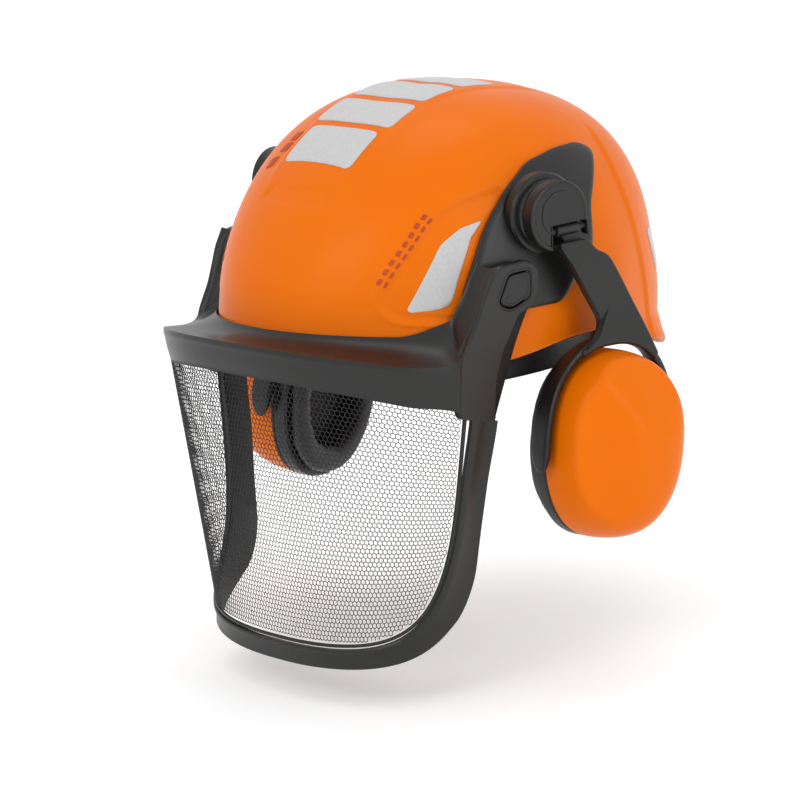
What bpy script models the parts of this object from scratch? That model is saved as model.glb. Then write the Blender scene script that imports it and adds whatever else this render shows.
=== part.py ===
"""Forestry helmet: hard shell, face mesh with brow guard, two ear muffs and a suspension harness.

Frame: +Z up, the helmet's front faces -Y and the wearer's left is +X.  The origin is in the middle of
the headband opening, at the height of the shell's rim plane.  Sizes below are in millimetres, and every
mesh is built in metres.  The wearer's left pieces are modelled and the right ones are their mirror.
"""
import math

import bmesh
import bpy
from mathutils import Matrix, Vector

MM = 0.001
GAP = 0.35                     # clearance between pieces that touch

# --- shell -----------------------------------------------------------------------------------------
SHELL_HALF_WIDTH = 110.0
SHELL_FRONT = 145.8
SHELL_BACK = 138.8
SHELL_HEIGHT = 136.1
SHELL_WALL = 2.6
PLAN_EXPONENT = 2.08           # superellipse exponent of the outline seen from above
FRONT_EXPONENT = 1.89          # of the front profile
SIDE_EXPONENT = 2.71           # of the profile over the sides
BACK_EXPONENT = 2.68           # of the back profile
PITCH = 7.0                    # the rim plane rises by this angle towards the front, degrees
SKIRT = ((0, 7), (48, 12), (66, 15), (97, 1.5), (110, 2), (129, 15), (153, 25), (180, 28))
FLARE_START = 112.0
FLARE_SPREAD = 26.0
SKIRT_FLARE = 8.0              # the nape edge stands out by this much

# --- suspension harness ----------------------------------------------------------------------------
BAND_RADIUS = 84.0             # headband, at the sides and round the nape
BAND_FRONT = 112.0             # from the nape arc's centre to the forehead
BAND_CENTRE_Y = 8.0            # centre of the nape arc
BAND_WALL = 1.8
BAND_LOW = -27.0
BAND_HIGH = 5.0
BAND_END = 134.0               # the band ends at this angle from the front, degrees
TRACK_RADIUS = 86.4            # the adjuster straps slide round this radius
TRACK_WALL = 1.6
RACK_HEIGHT = 7.0
PINION_RADIUS = 4.7
TRACK_MIDDLE_Z = -13.0

# --- visor -----------------------------------------------------------------------------------------
VISOR_PIVOT = (-52.3, 36.7)    # y and z of the swing axis
VISOR_TOP = dict(half=107.3, centre=-77.2, front=-169.1, z=-28.1, slope=-0.375)
VISOR_FOOT = dict(half=91.3, centre=-94.2, front=-150.8, z=-162.5, slope=0.186)
VISOR_EXPONENT = 2.36
FRAME_THICKNESS = 4.4
MESH_THICKNESS = 0.8
MESH_TOP = 0.006               # the sheet starts this share of its height below the brow bar
BROW_CREASE = dict(half=111.6, centre=-78.0, front=-171.6, z=-2.8, slope=-0.278)
BROW_EXPONENT = 2.31
BROW_END = 81.0                # the bar ends at this angle of its own curve, degrees
BROW_ANGLE = 56.0              # the guard reaches this far round the shell, degrees
SEAT_GAP = 2.8                 # between the shell and the guard's inner edge

# --- ear muffs, in the hub's own frame: X outward, Y back, Z up ------------------------------------
HUB = (103.0, -16.4, 71.8)     # on the swivel axis, at the side adapter
TOE_OUT = 7.0                  # the hub axis points this far forward of straight out, degrees
SPLAY = 3.9                    # the arm hangs this far outward of the hub plane, degrees
ARM_LEAN = 27.0                # the arm leans back by this angle
ARM_OFFSET_Y = 3.0             # the arm's middle line passes this far behind the axis
TURNTABLE_RADIUS = 20.5
TURNTABLE_X = (11.3, 20.5)
ARM_X = (17.6, 23.5)
HANGER_X = (13.8, 16.9)
KNUCKLE_Y = 7.0                # middle of the swing-out pin, which lies along Y
KNUCKLE_DROP = 9.0             # from the hub axis down to that pin
KNUCKLE_RADIUS = 1.9
CUP_CENTRE = (3.7, 20.1, -136.9)
CUP_LEAN = 13.0                # the cup's long axis leans back by this angle
CUP_HALF_WIDTH = 40.2
CUP_HALF_HEIGHT = 54.7
BASE_X = (-5.5, 6.0)
DOME_DEPTH = 45.0
CUSHION_DEPTH = 11.0
TILT_DROP = 5.0                # the cup tilts about pins this far below its middle
FORK_X = 10.0                  # middle of the fork's legs
FORK_WIDTH = 14.5
FORK_THICKNESS = 4.2
FORK_REACH = 105.0             # the legs end at this angle from the top, degrees


def clear_scene():
    for old in list(bpy.data.objects):
        bpy.data.objects.remove(old, do_unlink=True)


clear_scene()
HELMET = bpy.data.collections.new("forestry_helmet")
CUTTERS = bpy.data.collections.new("cutters")
for group in (HELMET, CUTTERS):
    bpy.context.scene.collection.children.link(group)


def material(name, colour, roughness, metallic=0.0):
    made = bpy.data.materials.new(name)
    made.use_nodes = True
    shader = made.node_tree.nodes["Principled BSDF"]
    shader.inputs["Base Color"].default_value = (*colour, 1.0)
    shader.inputs["Roughness"].default_value = roughness
    shader.inputs["Metallic"].default_value = metallic
    made.diffuse_color = (*colour, 1.0)
    return made


ORANGE = material("orange_plastic", (0.90, 0.20, 0.01), 0.35)
BLACK = material("black_plastic", (0.045, 0.045, 0.043), 0.5)
DARK = material("dark_harness_plastic", (0.03, 0.03, 0.032), 0.6)
REFLECTIVE = material("reflective_film", (0.62, 0.64, 0.65), 0.35)
STEEL = material("steel", (0.55, 0.55, 0.56), 0.3, 1.0)
MESH_GREY = material("mesh_nylon", (0.05, 0.05, 0.05), 0.6)
SOFT_BLACK = material("soft_black", (0.02, 0.02, 0.022), 0.85)
FOAM = material("grey_foam", (0.25, 0.25, 0.26), 0.95)
WEBBING = material("webbing", (0.06, 0.06, 0.065), 0.8)


# --- building blocks -------------------------------------------------------------------------------
def make_object(name, mesh_data, finish=None, collection=HELMET):
    made = bpy.data.objects.new(name, mesh_data)
    collection.objects.link(made)
    if finish is not None:
        mesh_data.materials.clear()
        mesh_data.materials.append(finish)
    if collection is CUTTERS:
        made.hide_render = True
        made.display_type = "WIRE"
    return made


def to_mesh(name, bm, finish=None, collection=HELMET, turned=Matrix.Identity(4)):
    """Writes a bmesh in millimetres to an object in metres."""
    bmesh.ops.transform(bm, matrix=Matrix.Scale(MM, 4) @ turned, verts=bm.verts)
    bmesh.ops.recalc_face_normals(bm, faces=bm.faces)
    mesh_data = bpy.data.meshes.new(name)
    bm.to_mesh(mesh_data)
    bm.free()
    return make_object(name, mesh_data, finish, collection)


def loft(name, rings, finish=None, collection=HELMET, turned=Matrix.Identity(4), closed=False):
    """A solid through rings of corners; closed joins the last ring to the first."""
    bm = bmesh.new()
    rows = [[bm.verts.new(corner) for corner in ring] for ring in rings]
    pairs = list(zip(rows, rows[1:]))
    if closed:
        pairs.append((rows[-1], rows[0]))
    for near, far in pairs:
        for k in range(len(near)):
            after = (k + 1) % len(near)
            bm.faces.new((near[k], near[after], far[after], far[k]))
    if not closed:
        bm.faces.new(rows[0])
        bm.faces.new(rows[-1])
    return to_mesh(name, bm, finish, collection, turned)


def rounded(corners, radius, steps=3):
    """Replaces each corner of a flat outline by a short curve."""
    outline = []
    for before, corner, after in zip(corners[-1:] + corners[:-1], corners, corners[1:] + corners[:1]):
        corner = Vector(corner)
        start = Vector(before) - corner
        end = Vector(after) - corner
        reach = min(radius, start.length * 0.45, end.length * 0.45)
        start = corner + start.normalized() * reach
        end = corner + end.normalized() * reach
        for k in range(steps + 1):
            t = k / steps
            outline.append((1 - t) ** 2 * start + 2 * t * (1 - t) * corner + t * t * end)
    return outline


def side_plate(name, outline, x_low, x_high, finish=None, collection=HELMET, turned=Matrix.Identity(4)):
    """A flat outline of y and z, from x_low to x_high."""
    rings = [[(x, y, z) for y, z in outline] for x in (x_low, x_high)]
    return loft(name, rings, finish, collection, turned)


def rod(name, axis, radius, low, high, centre, finish=None, collection=HELMET,
        turned=Matrix.Identity(4), sides=24):
    """A cylinder along the named axis, from low to high; centre gives the other two coordinates."""
    bm = bmesh.new()
    bmesh.ops.create_cone(bm, cap_ends=True, segments=sides, radius1=radius, radius2=radius,
                          depth=high - low)
    middle = (low + high) / 2
    turn = {"X": Matrix.Rotation(math.pi / 2, 4, "Y"), "Y": Matrix.Rotation(math.pi / 2, 4, "X")}
    place = {"X": (middle, *centre), "Y": (centre[0], middle, centre[1]), "Z": (*centre, middle)}
    spin = turn.get(axis, Matrix.Identity(4))
    bmesh.ops.transform(bm, matrix=Matrix.Translation(place[axis]) @ spin, verts=bm.verts)
    return to_mesh(name, bm, finish, collection, turned)


def block(name, low, high, finish=None, collection=HELMET, turned=Matrix.Identity(4)):
    bm = bmesh.new()
    bmesh.ops.create_cube(bm, size=1.0)
    size = [b - a for a, b in zip(low, high)]
    middle = [(a + b) / 2 for a, b in zip(low, high)]
    place = Matrix.Translation(middle) @ Matrix.Diagonal((*size, 1.0))
    bmesh.ops.transform(bm, matrix=place, verts=bm.verts)
    return to_mesh(name, bm, finish, collection, turned)


def boolean(target, tool, operation="DIFFERENCE"):
    step = target.modifiers.new(operation.lower(), "BOOLEAN")
    step.operation = operation
    step.object = tool
    step.solver = "EXACT"


def bevel(target, width, segments=2):
    step = target.modifiers.new("soft_edges", "BEVEL")
    step.width = width * MM
    step.segments = segments
    step.limit_method = "ANGLE"
    step.angle_limit = math.radians(40)


def smooth(target):
    target.data.shade_smooth()
    target.data.set_sharp_from_angle(angle=math.radians(35))


def applied(target):
    """Turns the object's modifiers into plain mesh."""
    bpy.context.view_layer.update()
    seen = target.evaluated_get(bpy.context.evaluated_depsgraph_get())
    finished = bpy.data.meshes.new_from_object(seen)
    target.modifiers.clear()
    target.data = finished
    return target


def mirror_to_right(left):
    """The wearer's right piece, from the finished left one."""
    applied(left)
    mesh_data = left.data.copy()
    bm = bmesh.new()
    bm.from_mesh(mesh_data)
    bmesh.ops.transform(bm, matrix=Matrix.Scale(-1, 4, (1, 0, 0)), verts=bm.verts)
    bmesh.ops.reverse_faces(bm, faces=bm.faces)
    bm.to_mesh(mesh_data)
    bm.free()
    name = left.name.replace("_left", "_right")
    mesh_data.name = name
    return make_object(name, mesh_data)


def joint_frame(name, place, pieces):
    """An empty on a joint's axis that carries the pieces of one moving body."""
    frame = bpy.data.objects.new(name, None)
    frame.location = [value * MM for value in place]
    frame.empty_display_size = 0.02
    HELMET.objects.link(frame)
    for piece in pieces:
        piece.parent = frame
        piece.matrix_parent_inverse = Matrix.Translation(frame.location).inverted()
    return frame


def power(value, exponent):
    return math.copysign(abs(value) ** (2 / exponent), value)


def ease(value):
    value = min(1.0, max(0.0, value))
    return value * value * (3 - 2 * value)


def between(table, value):
    """Reads a table of (place, size) rows with a smooth step between them."""
    for (start, low), (end, high) in zip(table, table[1:]):
        if value <= end:
            return low + (high - low) * ease((value - start) / (end - start))
    return table[-1][1]


# --- the shell's surface ---------------------------------------------------------------------------
TILT = Matrix.Rotation(-math.radians(PITCH), 4, "X")


def dome_point(around, up, offset=0.0):
    """A point of the outer shell: around from the front, up from the rim plane, both in degrees."""
    turn = math.radians(around)
    rise = math.radians(up)
    side_share = math.sin(turn) ** 2
    end_exponent = FRONT_EXPONENT if math.cos(turn) > 0 else BACK_EXPONENT
    exponent = SIDE_EXPONENT * side_share + end_exponent * (1 - side_share)
    reach = power(max(math.cos(rise), 0.0), exponent)
    length = SHELL_FRONT if math.cos(turn) > 0 else SHELL_BACK
    x = (SHELL_HALF_WIDTH + offset) * reach * power(math.sin(turn), PLAN_EXPONENT)
    y = -(length + offset) * reach * power(math.cos(turn), PLAN_EXPONENT)
    z = (SHELL_HEIGHT + offset) * power(math.sin(rise), exponent)
    return Vector((x, y, z))


def rim_point(around, drop, offset=0.0):
    """A point of the skirt, drop below the rim plane."""
    foot = dome_point(around, 0, offset)
    return Vector((foot.x, foot.y, -drop))


def dome_rows(columns, offset, ups):
    return [[TILT @ dome_point(360 * k / columns, up, offset) for k in range(columns)] for up in ups]


def dome_solid(name, offset, depth=60.0):
    """A closed dome used to trim the pieces that lie on the shell."""
    columns = 48
    rows = [[TILT @ rim_point(360 * k / columns, depth, offset) for k in range(columns)]]
    rows += dome_rows(columns, offset, [0, 6, 12, 19, 26, 33, 41, 49, 57, 65, 73, 81, 87])
    return loft(name, rows, collection=CUTTERS)


def make_shell():
    columns = 48
    folded = [min(360 * k / columns, 360 - 360 * k / columns) for k in range(columns)]
    skirt_depths = [between(SKIRT, around) for around in folded]
    flares = [SKIRT_FLARE * ease((around - FLARE_START) / FLARE_SPREAD) for around in folded]
    bm = bmesh.new()
    rows = []
    for share in (1.0, 0.5):
        row = []
        for k in range(columns):
            around = 360 * k / columns
            row.append(bm.verts.new(TILT @ rim_point(around, skirt_depths[k] * share, flares[k] * share)))
        rows.append(row)
    for points in dome_rows(columns, 0, [0, 9, 18, 28, 38, 48, 58, 68, 78]):
        rows.append([bm.verts.new(point) for point in points])
    for near, far in zip(rows, rows[1:]):
        for k in range(columns):
            after = (k + 1) % columns
            bm.faces.new((near[k], near[after], far[after], far[k]))
    crown = bm.verts.new(TILT @ Vector((0, 0, SHELL_HEIGHT)))
    for k in range(columns):
        bm.faces.new((rows[-1][k], rows[-1][(k + 1) % columns], crown))
    shell = to_mesh("shell", bm, ORANGE)
    wall = shell.modifiers.new("wall", "SOLIDIFY")
    wall.thickness = SHELL_WALL * MM
    wall.offset = -1
    smooth(shell)
    return shell


def hugging(name, outline, inner, outer, finish):
    """A side piece of y-z outline that lies on the shell between two offsets."""
    piece = side_plate(name, outline, 30, 140, finish)
    boolean(piece, inner)
    boolean(piece, outer, "INTERSECT")
    return piece


# --- suspension harness ----------------------------------------------------------------------------
def band_point(around, radius, z):
    """A point of the headband's plan: half an ellipse in front, a half circle behind."""
    turn = math.radians(around)
    front = BAND_FRONT + radius - BAND_RADIUS
    length = front if math.cos(turn) > 0 else radius
    return (radius * math.sin(turn), BAND_CENTRE_Y - length * math.cos(turn), z)


def band_piece(name, start, end, inner, outer, low, high, finish, steps=24, collection=HELMET):
    """An upright band of the plan curve, from angle start to angle end."""
    rings = []
    for k in range(steps + 1):
        around = start + (end - start) * k / steps
        rings.append([band_point(around, inner, low), band_point(around, outer, low),
                      band_point(around, outer, high), band_point(around, inner, high)])
    return loft(name, rings, finish, collection)


def make_harness():
    outer = BAND_RADIUS + BAND_WALL
    band_piece("headband", -BAND_END, BAND_END, BAND_RADIUS, outer, BAND_LOW, BAND_HIGH, DARK, 40)
    band_piece("brow_sweatband", -72, 72, BAND_RADIUS - 5.5, BAND_RADIUS - GAP,
               BAND_LOW + 1, BAND_HIGH + 1, SOFT_BLACK, 24)
    band_piece("nape_pad", 146, 214, BAND_RADIUS - 5, BAND_RADIUS + 0.4,
               BAND_LOW - 4, BAND_HIGH + 2, SOFT_BLACK, 14)
    straps = (("crown_strap_front_left", 38, 0), ("crown_strap_sides", 90, -3.4),
              ("crown_strap_front_right", -38, 3.0))
    for name, around, lift in straps:
        make_crown_strap(name, around, lift)
    for side, sign in (("left", 1), ("right", -1)):
        for place, around in (("front", 38), ("side", 90), ("rear", 142)):
            make_clip(f"harness_clip_{place}_{side}", sign * around)


STRAP_FOOT_Z = 15.0
STRAP_RISE = 88.0
STRAP_HALF_WIDTH = 10.0
STRAP_THICKNESS = 1.3
CLIP_INSET = 8.5               # strap and clip middle, in from the shell's outer face


def strap_foot(around):
    """Where a crown strap meets its clip."""
    foot = dome_point(around, 8, -CLIP_INSET)
    return Vector((foot.x, foot.y))


def make_crown_strap(name, around, lift):
    """Webbing from one clip over the crown to the clip on the other side."""
    start = strap_foot(around)
    end = strap_foot(around + 180 if around < 0 else around - 180)
    across = (end - start).normalized()
    width = Vector((-across.y, across.x, 0)) * STRAP_HALF_WIDTH
    middle = (start + end) / 2
    half = (end - start).length / 2
    rings = []
    steps = 22
    for k in range(steps + 1):
        turn = math.pi * k / steps
        out = Vector((-math.cos(turn) * across.x, -math.cos(turn) * across.y, math.sin(turn)))
        centre = Vector((middle.x, middle.y, STRAP_FOOT_Z)) + Vector((
            out.x * half, out.y * half, out.z * (STRAP_RISE + lift)))
        thick = out * STRAP_THICKNESS / 2
        rings.append([centre - thick - width, centre + thick - width,
                      centre + thick + width, centre - thick + width])
    return loft(name, rings, WEBBING)


def make_clip(name, around):
    """The plastic key that holds a strap's end to the shell and to the headband."""
    foot = strap_foot(around)
    facing = Matrix.Rotation(math.atan2(foot.y, foot.x), 4, "Z")
    place = Matrix.Translation((foot.x, foot.y, 0)) @ facing
    clip = block(name, (-3.2, -11, -7), (3.2, 11, STRAP_FOOT_Z - GAP), DARK, turned=place)
    bevel(clip, 1.2, 1)
    return clip


def make_adjuster():
    """The nape ratchet: housing, knob with its pinion, and the two racks that it draws together."""
    inner = TRACK_RADIUS
    outer = TRACK_RADIUS + TRACK_WALL
    housing = band_piece("ratchet_housing", 161, 199, inner - 1.6, outer + 11, -29, 3, DARK, 12)
    channel = band_piece("ratchet_channel", 155, 205, inner - GAP, outer + GAP,
                         TRACK_MIDDLE_Z - PINION_RADIUS - RACK_HEIGHT - 2 * GAP,
                         TRACK_MIDDLE_Z + PINION_RADIUS + RACK_HEIGHT + 2 * GAP, None, 14, CUTTERS)
    back = BAND_CENTRE_Y + outer
    bore = rod("ratchet_bore", "Y", PINION_RADIUS + GAP, back - 1, back + 20,
               (0, TRACK_MIDDLE_Z), collection=CUTTERS)
    boolean(housing, channel)
    boolean(housing, bore)
    applied(housing)
    knob = rod("ratchet_knob", "Y", 17, back + 11.6, back + 24, (0, TRACK_MIDDLE_Z), DARK, sides=36)
    bevel(knob, 2.5)
    shaft = rod("ratchet_shaft", "Y", PINION_RADIUS, back - TRACK_WALL, back + 14,
                (0, TRACK_MIDDLE_Z), collection=CUTTERS)
    boolean(knob, shaft, "UNION")
    applied(knob)
    joint_frame("knob_axis", (0, back, TRACK_MIDDLE_Z), [knob])
    near = PINION_RADIUS + GAP
    for name, start, end, low in (("adjuster_rack_left", 122, 177, TRACK_MIDDLE_Z - near - RACK_HEIGHT),
                                  ("adjuster_rack_right", -122, -177, TRACK_MIDDLE_Z + near)):
        rack = band_piece(name, start, end, inner, outer, low, low + RACK_HEIGHT, DARK, 20)
        joint_frame(name + "_axis", (0, BAND_CENTRE_Y, TRACK_MIDDLE_Z), [rack])


# --- visor -----------------------------------------------------------------------------------------
def edge_curve(curve, around, extra=0.0, exponent=VISOR_EXPONENT):
    """A point of a curve round the face; extra carries on straight back past its side."""
    turn = math.radians(around)
    x = curve["half"] * power(math.sin(turn), exponent)
    y = curve["centre"] - (curve["centre"] - curve["front"]) * power(max(math.cos(turn), 0), exponent)
    y += extra
    return Vector((x, y, curve["z"] + curve["slope"] * (y + 100)))


def visor_point(side, down, offset=0.0):
    """A point of the face mesh's surface: side is 1 at the wearer's left edge, down is 1 at the foot."""
    turn = 90 * max(-1.0, min(1.0, side))
    extra = max(0.0, abs(side) - 1) * 100
    top = edge_curve(VISOR_TOP, turn, extra)
    foot = edge_curve(VISOR_FOOT, turn, extra)
    point = top + (foot - top) * down
    out = Vector((math.sin(math.radians(turn)), -math.cos(math.radians(turn)), 0))
    return point + out * offset


def u_path(half, top, foot, steps=36, exponent=5.0):
    """A U in the visor's own side-and-down coordinates, with rounded corners."""
    path = []
    for k in range(steps + 1):
        turn = math.pi * k / steps
        path.append((half * power(math.cos(turn), exponent),
                     top + (foot - top) * power(math.sin(turn), exponent)))
    return path


def edge_strip(name, inner, outer, thickness, finish):
    """A flat strip that follows the visor's surface between two U paths."""
    rings = []
    for near, far in zip(inner, outer):
        half = thickness / 2
        rings.append([visor_point(*near, half), visor_point(*far, half),
                      visor_point(*far, -half), visor_point(*near, -half)])
    return loft(name, rings, finish)


def make_brow_guard():
    """The peak and the bar under it, from one side of the shell round to the other."""
    rings = []
    steps = 28
    for k in range(steps + 1):
        share = -1 + 2 * k / steps
        around = share * BROW_ANGLE
        climb = 1.5 + 15 * ease((abs(around) - 34) / 22)
        seat = TILT @ dome_point(around, 4, SEAT_GAP)
        seat.z = (TILT @ Vector((0, seat.y, 0))).z + climb
        crease = edge_curve(BROW_CREASE, share * BROW_END, exponent=BROW_EXPONENT)
        lip = edge_curve(VISOR_TOP, share * BROW_END)
        inward = Vector((-math.sin(math.radians(share * BROW_END)), math.cos(math.radians(share * BROW_END)), 0))
        rings.append([seat, crease, crease + Vector((0, 0, -2.5)), lip, lip + inward * 4.5,
                      crease + inward * 7 + Vector((0, 0, -4)), seat + Vector((0, 0, -3.5))])
    guard = loft("brow_guard", rings, BLACK)
    front = min(y for y, z in ARM_OUTLINE) - GAP
    for sign in (1, -1):
        corners = [(x, y) for x, y in ((ARM_OUTER_X - ARM_THICKNESS - 3, front), (140, front),
                                       (140, -40), (ARM_OUTER_X - ARM_THICKNESS - 3, -40))]
        clearance = loft("arm_clearance", [[(sign * x, y, z) for x, y in corners] for z in (-60, 60)],
                         collection=CUTTERS)
        boolean(guard, clearance)
    return guard


def make_visor():
    """The pieces that lift together: brow guard, frame, face mesh, its bead and the two arms."""
    guard = make_brow_guard()
    inner = u_path(0.962, -0.02, 0.962)
    outer = u_path(1.10, -0.02, 1.035)
    frame = edge_strip("visor_frame", inner, outer, FRAME_THICKNESS, BLACK)
    bead = edge_strip("mesh_bead", u_path(0.938, 0.006, 0.942), u_path(0.955, 0.006, 0.957), 2.4, SOFT_BLACK)
    face = make_face_mesh()
    arm = make_visor_arm()
    other = mirror_to_right(arm)
    pieces = [guard, frame, bead, face, arm, other]
    joint_frame("visor_axis", (0, *VISOR_PIVOT), pieces)


def make_face_mesh():
    """The sheet of woven mesh, as one thin solid."""
    rows = 4
    columns = 24
    path = u_path(0.933, MESH_TOP, 0.937, columns)
    rings = []
    for side, foot in path[1:-1]:
        ring = []
        for k in range(rows + 1):
            down = MESH_TOP + (foot - MESH_TOP) * k / rows
            ring.append(visor_point(side, down, MESH_THICKNESS / 2))
        for k in range(rows, -1, -1):
            down = MESH_TOP + (foot - MESH_TOP) * k / rows
            ring.append(visor_point(side, down, -MESH_THICKNESS / 2))
        rings.append(ring)
    return loft("visor_mesh", rings, MESH_GREY)


ARM_OUTLINE = [(-66, 51), (-40.5, 51), (-31.5, 41), (-33.5, 28), (-52, 12.5), (-60.5, 1.5), (-66, -14),
               (-68, -36.5), (-95.3, -26.3), (-95.3, 4), (-84, 19.5), (-74.5, 40)]
WINDOW_OUTLINE = [(-58, 45.5), (-40, 45), (-39, 29), (-55.5, 24.5), (-66, 29.3)]
BUTTON_OUTLINE = [(-57, 44.5), (-41, 44), (-40.2, 29.8), (-55.4, 25.7), (-64.6, 29.9)]
ARM_OUTER_X = 114.0            # outer face at z = 0
ARM_SPLAY = 0.09               # and its lean, in millimetres outward for each one up
ARM_THICKNESS = 5.8
WINDOW_DEPTH = 3.9             # of the recess that the lock button sits in
BUTTON_SINK = 1.9              # the button's back face lies this far below the arm's outer face


def splayed(x, y, z):
    return Vector((x + ARM_SPLAY * z, y, z))


def splayed_plate(name, outline, x_low, x_high, finish=None, collection=HELMET):
    rings = [[splayed(x, y, z) for y, z in outline] for x in (x_low, x_high)]
    return loft(name, rings, finish, collection)


def make_visor_arm():
    """The flat arm from the frame up to the swing axis, with a window for the lock button."""
    arm = splayed_plate("visor_arm_left", rounded(ARM_OUTLINE, 6), ARM_OUTER_X - ARM_THICKNESS, ARM_OUTER_X, BLACK)
    window = splayed_plate("button_window", rounded(WINDOW_OUTLINE, 4),
                           ARM_OUTER_X - WINDOW_DEPTH, ARM_OUTER_X + 5, collection=CUTTERS)
    boolean(arm, window)
    eye = rod("arm_eye", "X", PIVOT_PIN_RADIUS + GAP, 80, 130, VISOR_PIVOT, collection=CUTTERS)
    boolean(arm, eye)
    return arm


PIVOT_PIN_RADIUS = 3.2


def make_lock_buttons():
    """The release buttons, each in its arm's window, free to be pressed inward."""
    button = splayed_plate("lock_button_left", rounded(BUTTON_OUTLINE, 3.5), ARM_OUTER_X - BUTTON_SINK,
                           ARM_OUTER_X + 0.8, BLACK)
    other = mirror_to_right(button)
    for piece, sign in ((button, 1), (other, -1)):
        joint_frame(piece.name + "_axis", (sign * ARM_OUTER_X, -52, 35), [piece])


# --- side adapters and muffs -----------------------------------------------------------------------
ADAPTER_OUTLINE = [(47.5, 95), (36, 101.5), (13, 102), (-12, 98.5), (-31.6, 87.6), (-46.8, 74.5), (-55.4, 64.5),
                   (-67.2, 44.3), (-73.4, 32.3), (-67, 28), (-51, 22.3), (-37, 20), (-9, 19), (4.5, 32),
                   (20, 44), (26, 68.7)]
SIDE_STICKER = [(-49.5, 72.8), (-64, 70), (-76.5, 62.5), (-89, 45.2), (-100.8, 27.5), (-85, 27), (-77.7, 29.4),
                (-70.8, 44.5), (-58.8, 65.7)]
REAR_STICKER = [(92, 39.5), (105, 39), (108.5, 13.5), (101, 12)]
CROWN_FILM_HALF_WIDTH = 29.0
TOP_STICKERS = ((-91, -65), (-60.5, -37), (-31.5, -5), (1, 28))      # y range of each film on the crown


def hub_frame():
    return Matrix.Translation(HUB) @ Matrix.Rotation(-math.radians(TOE_OUT), 4, "Z")


def hang_frame():
    """The hub frame swung outward about the knuckle pin."""
    knuckle = Matrix.Translation((KNUCKLE_X, KNUCKLE_Y, -KNUCKLE_DROP))
    return hub_frame() @ knuckle @ Matrix.Rotation(-math.radians(SPLAY), 4, "Y") @ knuckle.inverted()


def arm_frame():
    """The hanging frame turned so that its -Z runs down the muff arm."""
    lean = Matrix.Rotation(math.radians(ARM_LEAN), 4, "X")
    return hang_frame() @ Matrix.Translation((0, ARM_OFFSET_Y, 0)) @ lean


def cup_frame():
    lean = Matrix.Rotation(-math.radians(CUP_LEAN), 4, "X")
    return hang_frame() @ Matrix.Translation(CUP_CENTRE) @ lean


def make_fixed_side(film_in, film_out, plate_in, plate_out, base_in):
    """What is fixed on the shell's left: adapter, hub base, pivot pin and reflective films."""
    adapter = hugging("side_adapter_left", rounded(ADAPTER_OUTLINE, 7), plate_in, plate_out, BLACK)
    hub = hub_frame()
    base = rod("hub_base_left", "X", 24, -25, 7.0, (0, 0), BLACK, turned=hub, sides=40)
    collar = rod("hub_collar", "X", 20, 0, TURNTABLE_X[0] - 0.6, (0, 0), collection=CUTTERS, turned=hub, sides=40)
    boolean(base, collar, "UNION")
    boolean(base, base_in)
    bore = rod("hub_bore", "X", AXLE_RADIUS + GAP, -40, 40, (0, 0), collection=CUTTERS, turned=hub)
    boolean(base, bore)
    pin_end = ARM_OUTER_X + ARM_SPLAY * (VISOR_PIVOT[1] - PIVOT_PIN_RADIUS) - WINDOW_DEPTH - GAP
    head = rod("pivot_pin_left", "X", PIVOT_PIN_RADIUS, 88, pin_end, VISOR_PIVOT, STEEL)
    boolean(head, base_in)
    side_film = hugging("side_reflector_left", rounded(SIDE_STICKER, 5), film_in, film_out, REFLECTIVE)
    rear_film = hugging("rear_reflector_left", rounded(REAR_STICKER, 4), film_in, film_out, REFLECTIVE)
    for piece in (adapter, base, head, side_film, rear_film):
        mirror_to_right(piece)


AXLE_RADIUS = 5.0


def make_top_films(film_in, film_out):
    for count, (front, back) in enumerate(TOP_STICKERS, start=1):
        half = CROWN_FILM_HALF_WIDTH
        outline = rounded([(-half, front), (half, front), (half, back), (-half, back)], 5)
        rings = [[(x, y, z) for x, y in outline] for z in (70, 160)]
        film = loft(f"crown_reflector_{count}", rings, REFLECTIVE)
        boolean(film, film_in)
        boolean(film, film_out, "INTERSECT")


def cup_outline(scale, x, steps=24, shrink=0.0):
    """The cup's egg-shaped outline, seen from the side."""
    ring = []
    for k in range(steps):
        turn = 2 * math.pi * k / steps
        egg = 1 + 0.05 * math.cos(turn)
        ring.append(Vector((x, (CUP_HALF_WIDTH - shrink) * scale * egg * power(math.sin(turn), 2.25),
                            (CUP_HALF_HEIGHT - shrink) * scale * power(math.cos(turn), 2.25))))
    return ring


def ring_solid(name, sections, finish, turned):
    """A ring round the ear: each section is (scale, x), going once round the wall."""
    rings = [cup_outline(scale, x) for scale, x in sections]
    return loft(name, rings, finish, turned=turned, closed=True)


def make_turntable(hub):
    """The round cap that swivels on the hub, notched for the arm's hanger."""
    low, high = TURNTABLE_X
    cap = rod("muff_turntable_left", "X", TURNTABLE_RADIUS, low, high, (0, 0), BLACK, turned=hub, sides=40)
    lug = block("knuckle_lug", (low, 2, -12.5), (high, 24.2, 5), collection=CUTTERS, turned=hub)
    notch = block("hanger_notch", (low - 5, *NOTCH_Y[:1], -40), (high + 5, *NOTCH_Y[1:], KNUCKLE_TOP),
                  collection=CUTTERS, turned=hub)
    axle = rod("hub_axle", "X", AXLE_RADIUS, 3.0, low + 3, (0, 0), collection=CUTTERS, turned=hub)
    place = (KNUCKLE_X, -KNUCKLE_DROP)
    half = (NOTCH_Y[1] - NOTCH_Y[0]) / 2 + 3
    pin_hole = rod("knuckle_hole", "Y", KNUCKLE_RADIUS + GAP, KNUCKLE_Y - half - GAP, KNUCKLE_Y + half + GAP,
                   place, collection=CUTTERS, turned=hub, sides=16)
    boolean(cap, lug, "UNION")
    boolean(cap, axle, "UNION")
    boolean(cap, notch)
    boolean(cap, pin_hole)
    pin = rod("knuckle_pin_left", "Y", KNUCKLE_RADIUS, KNUCKLE_Y - half, KNUCKLE_Y + half, place, STEEL,
              turned=hub, sides=16)
    return [cap, pin]


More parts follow.
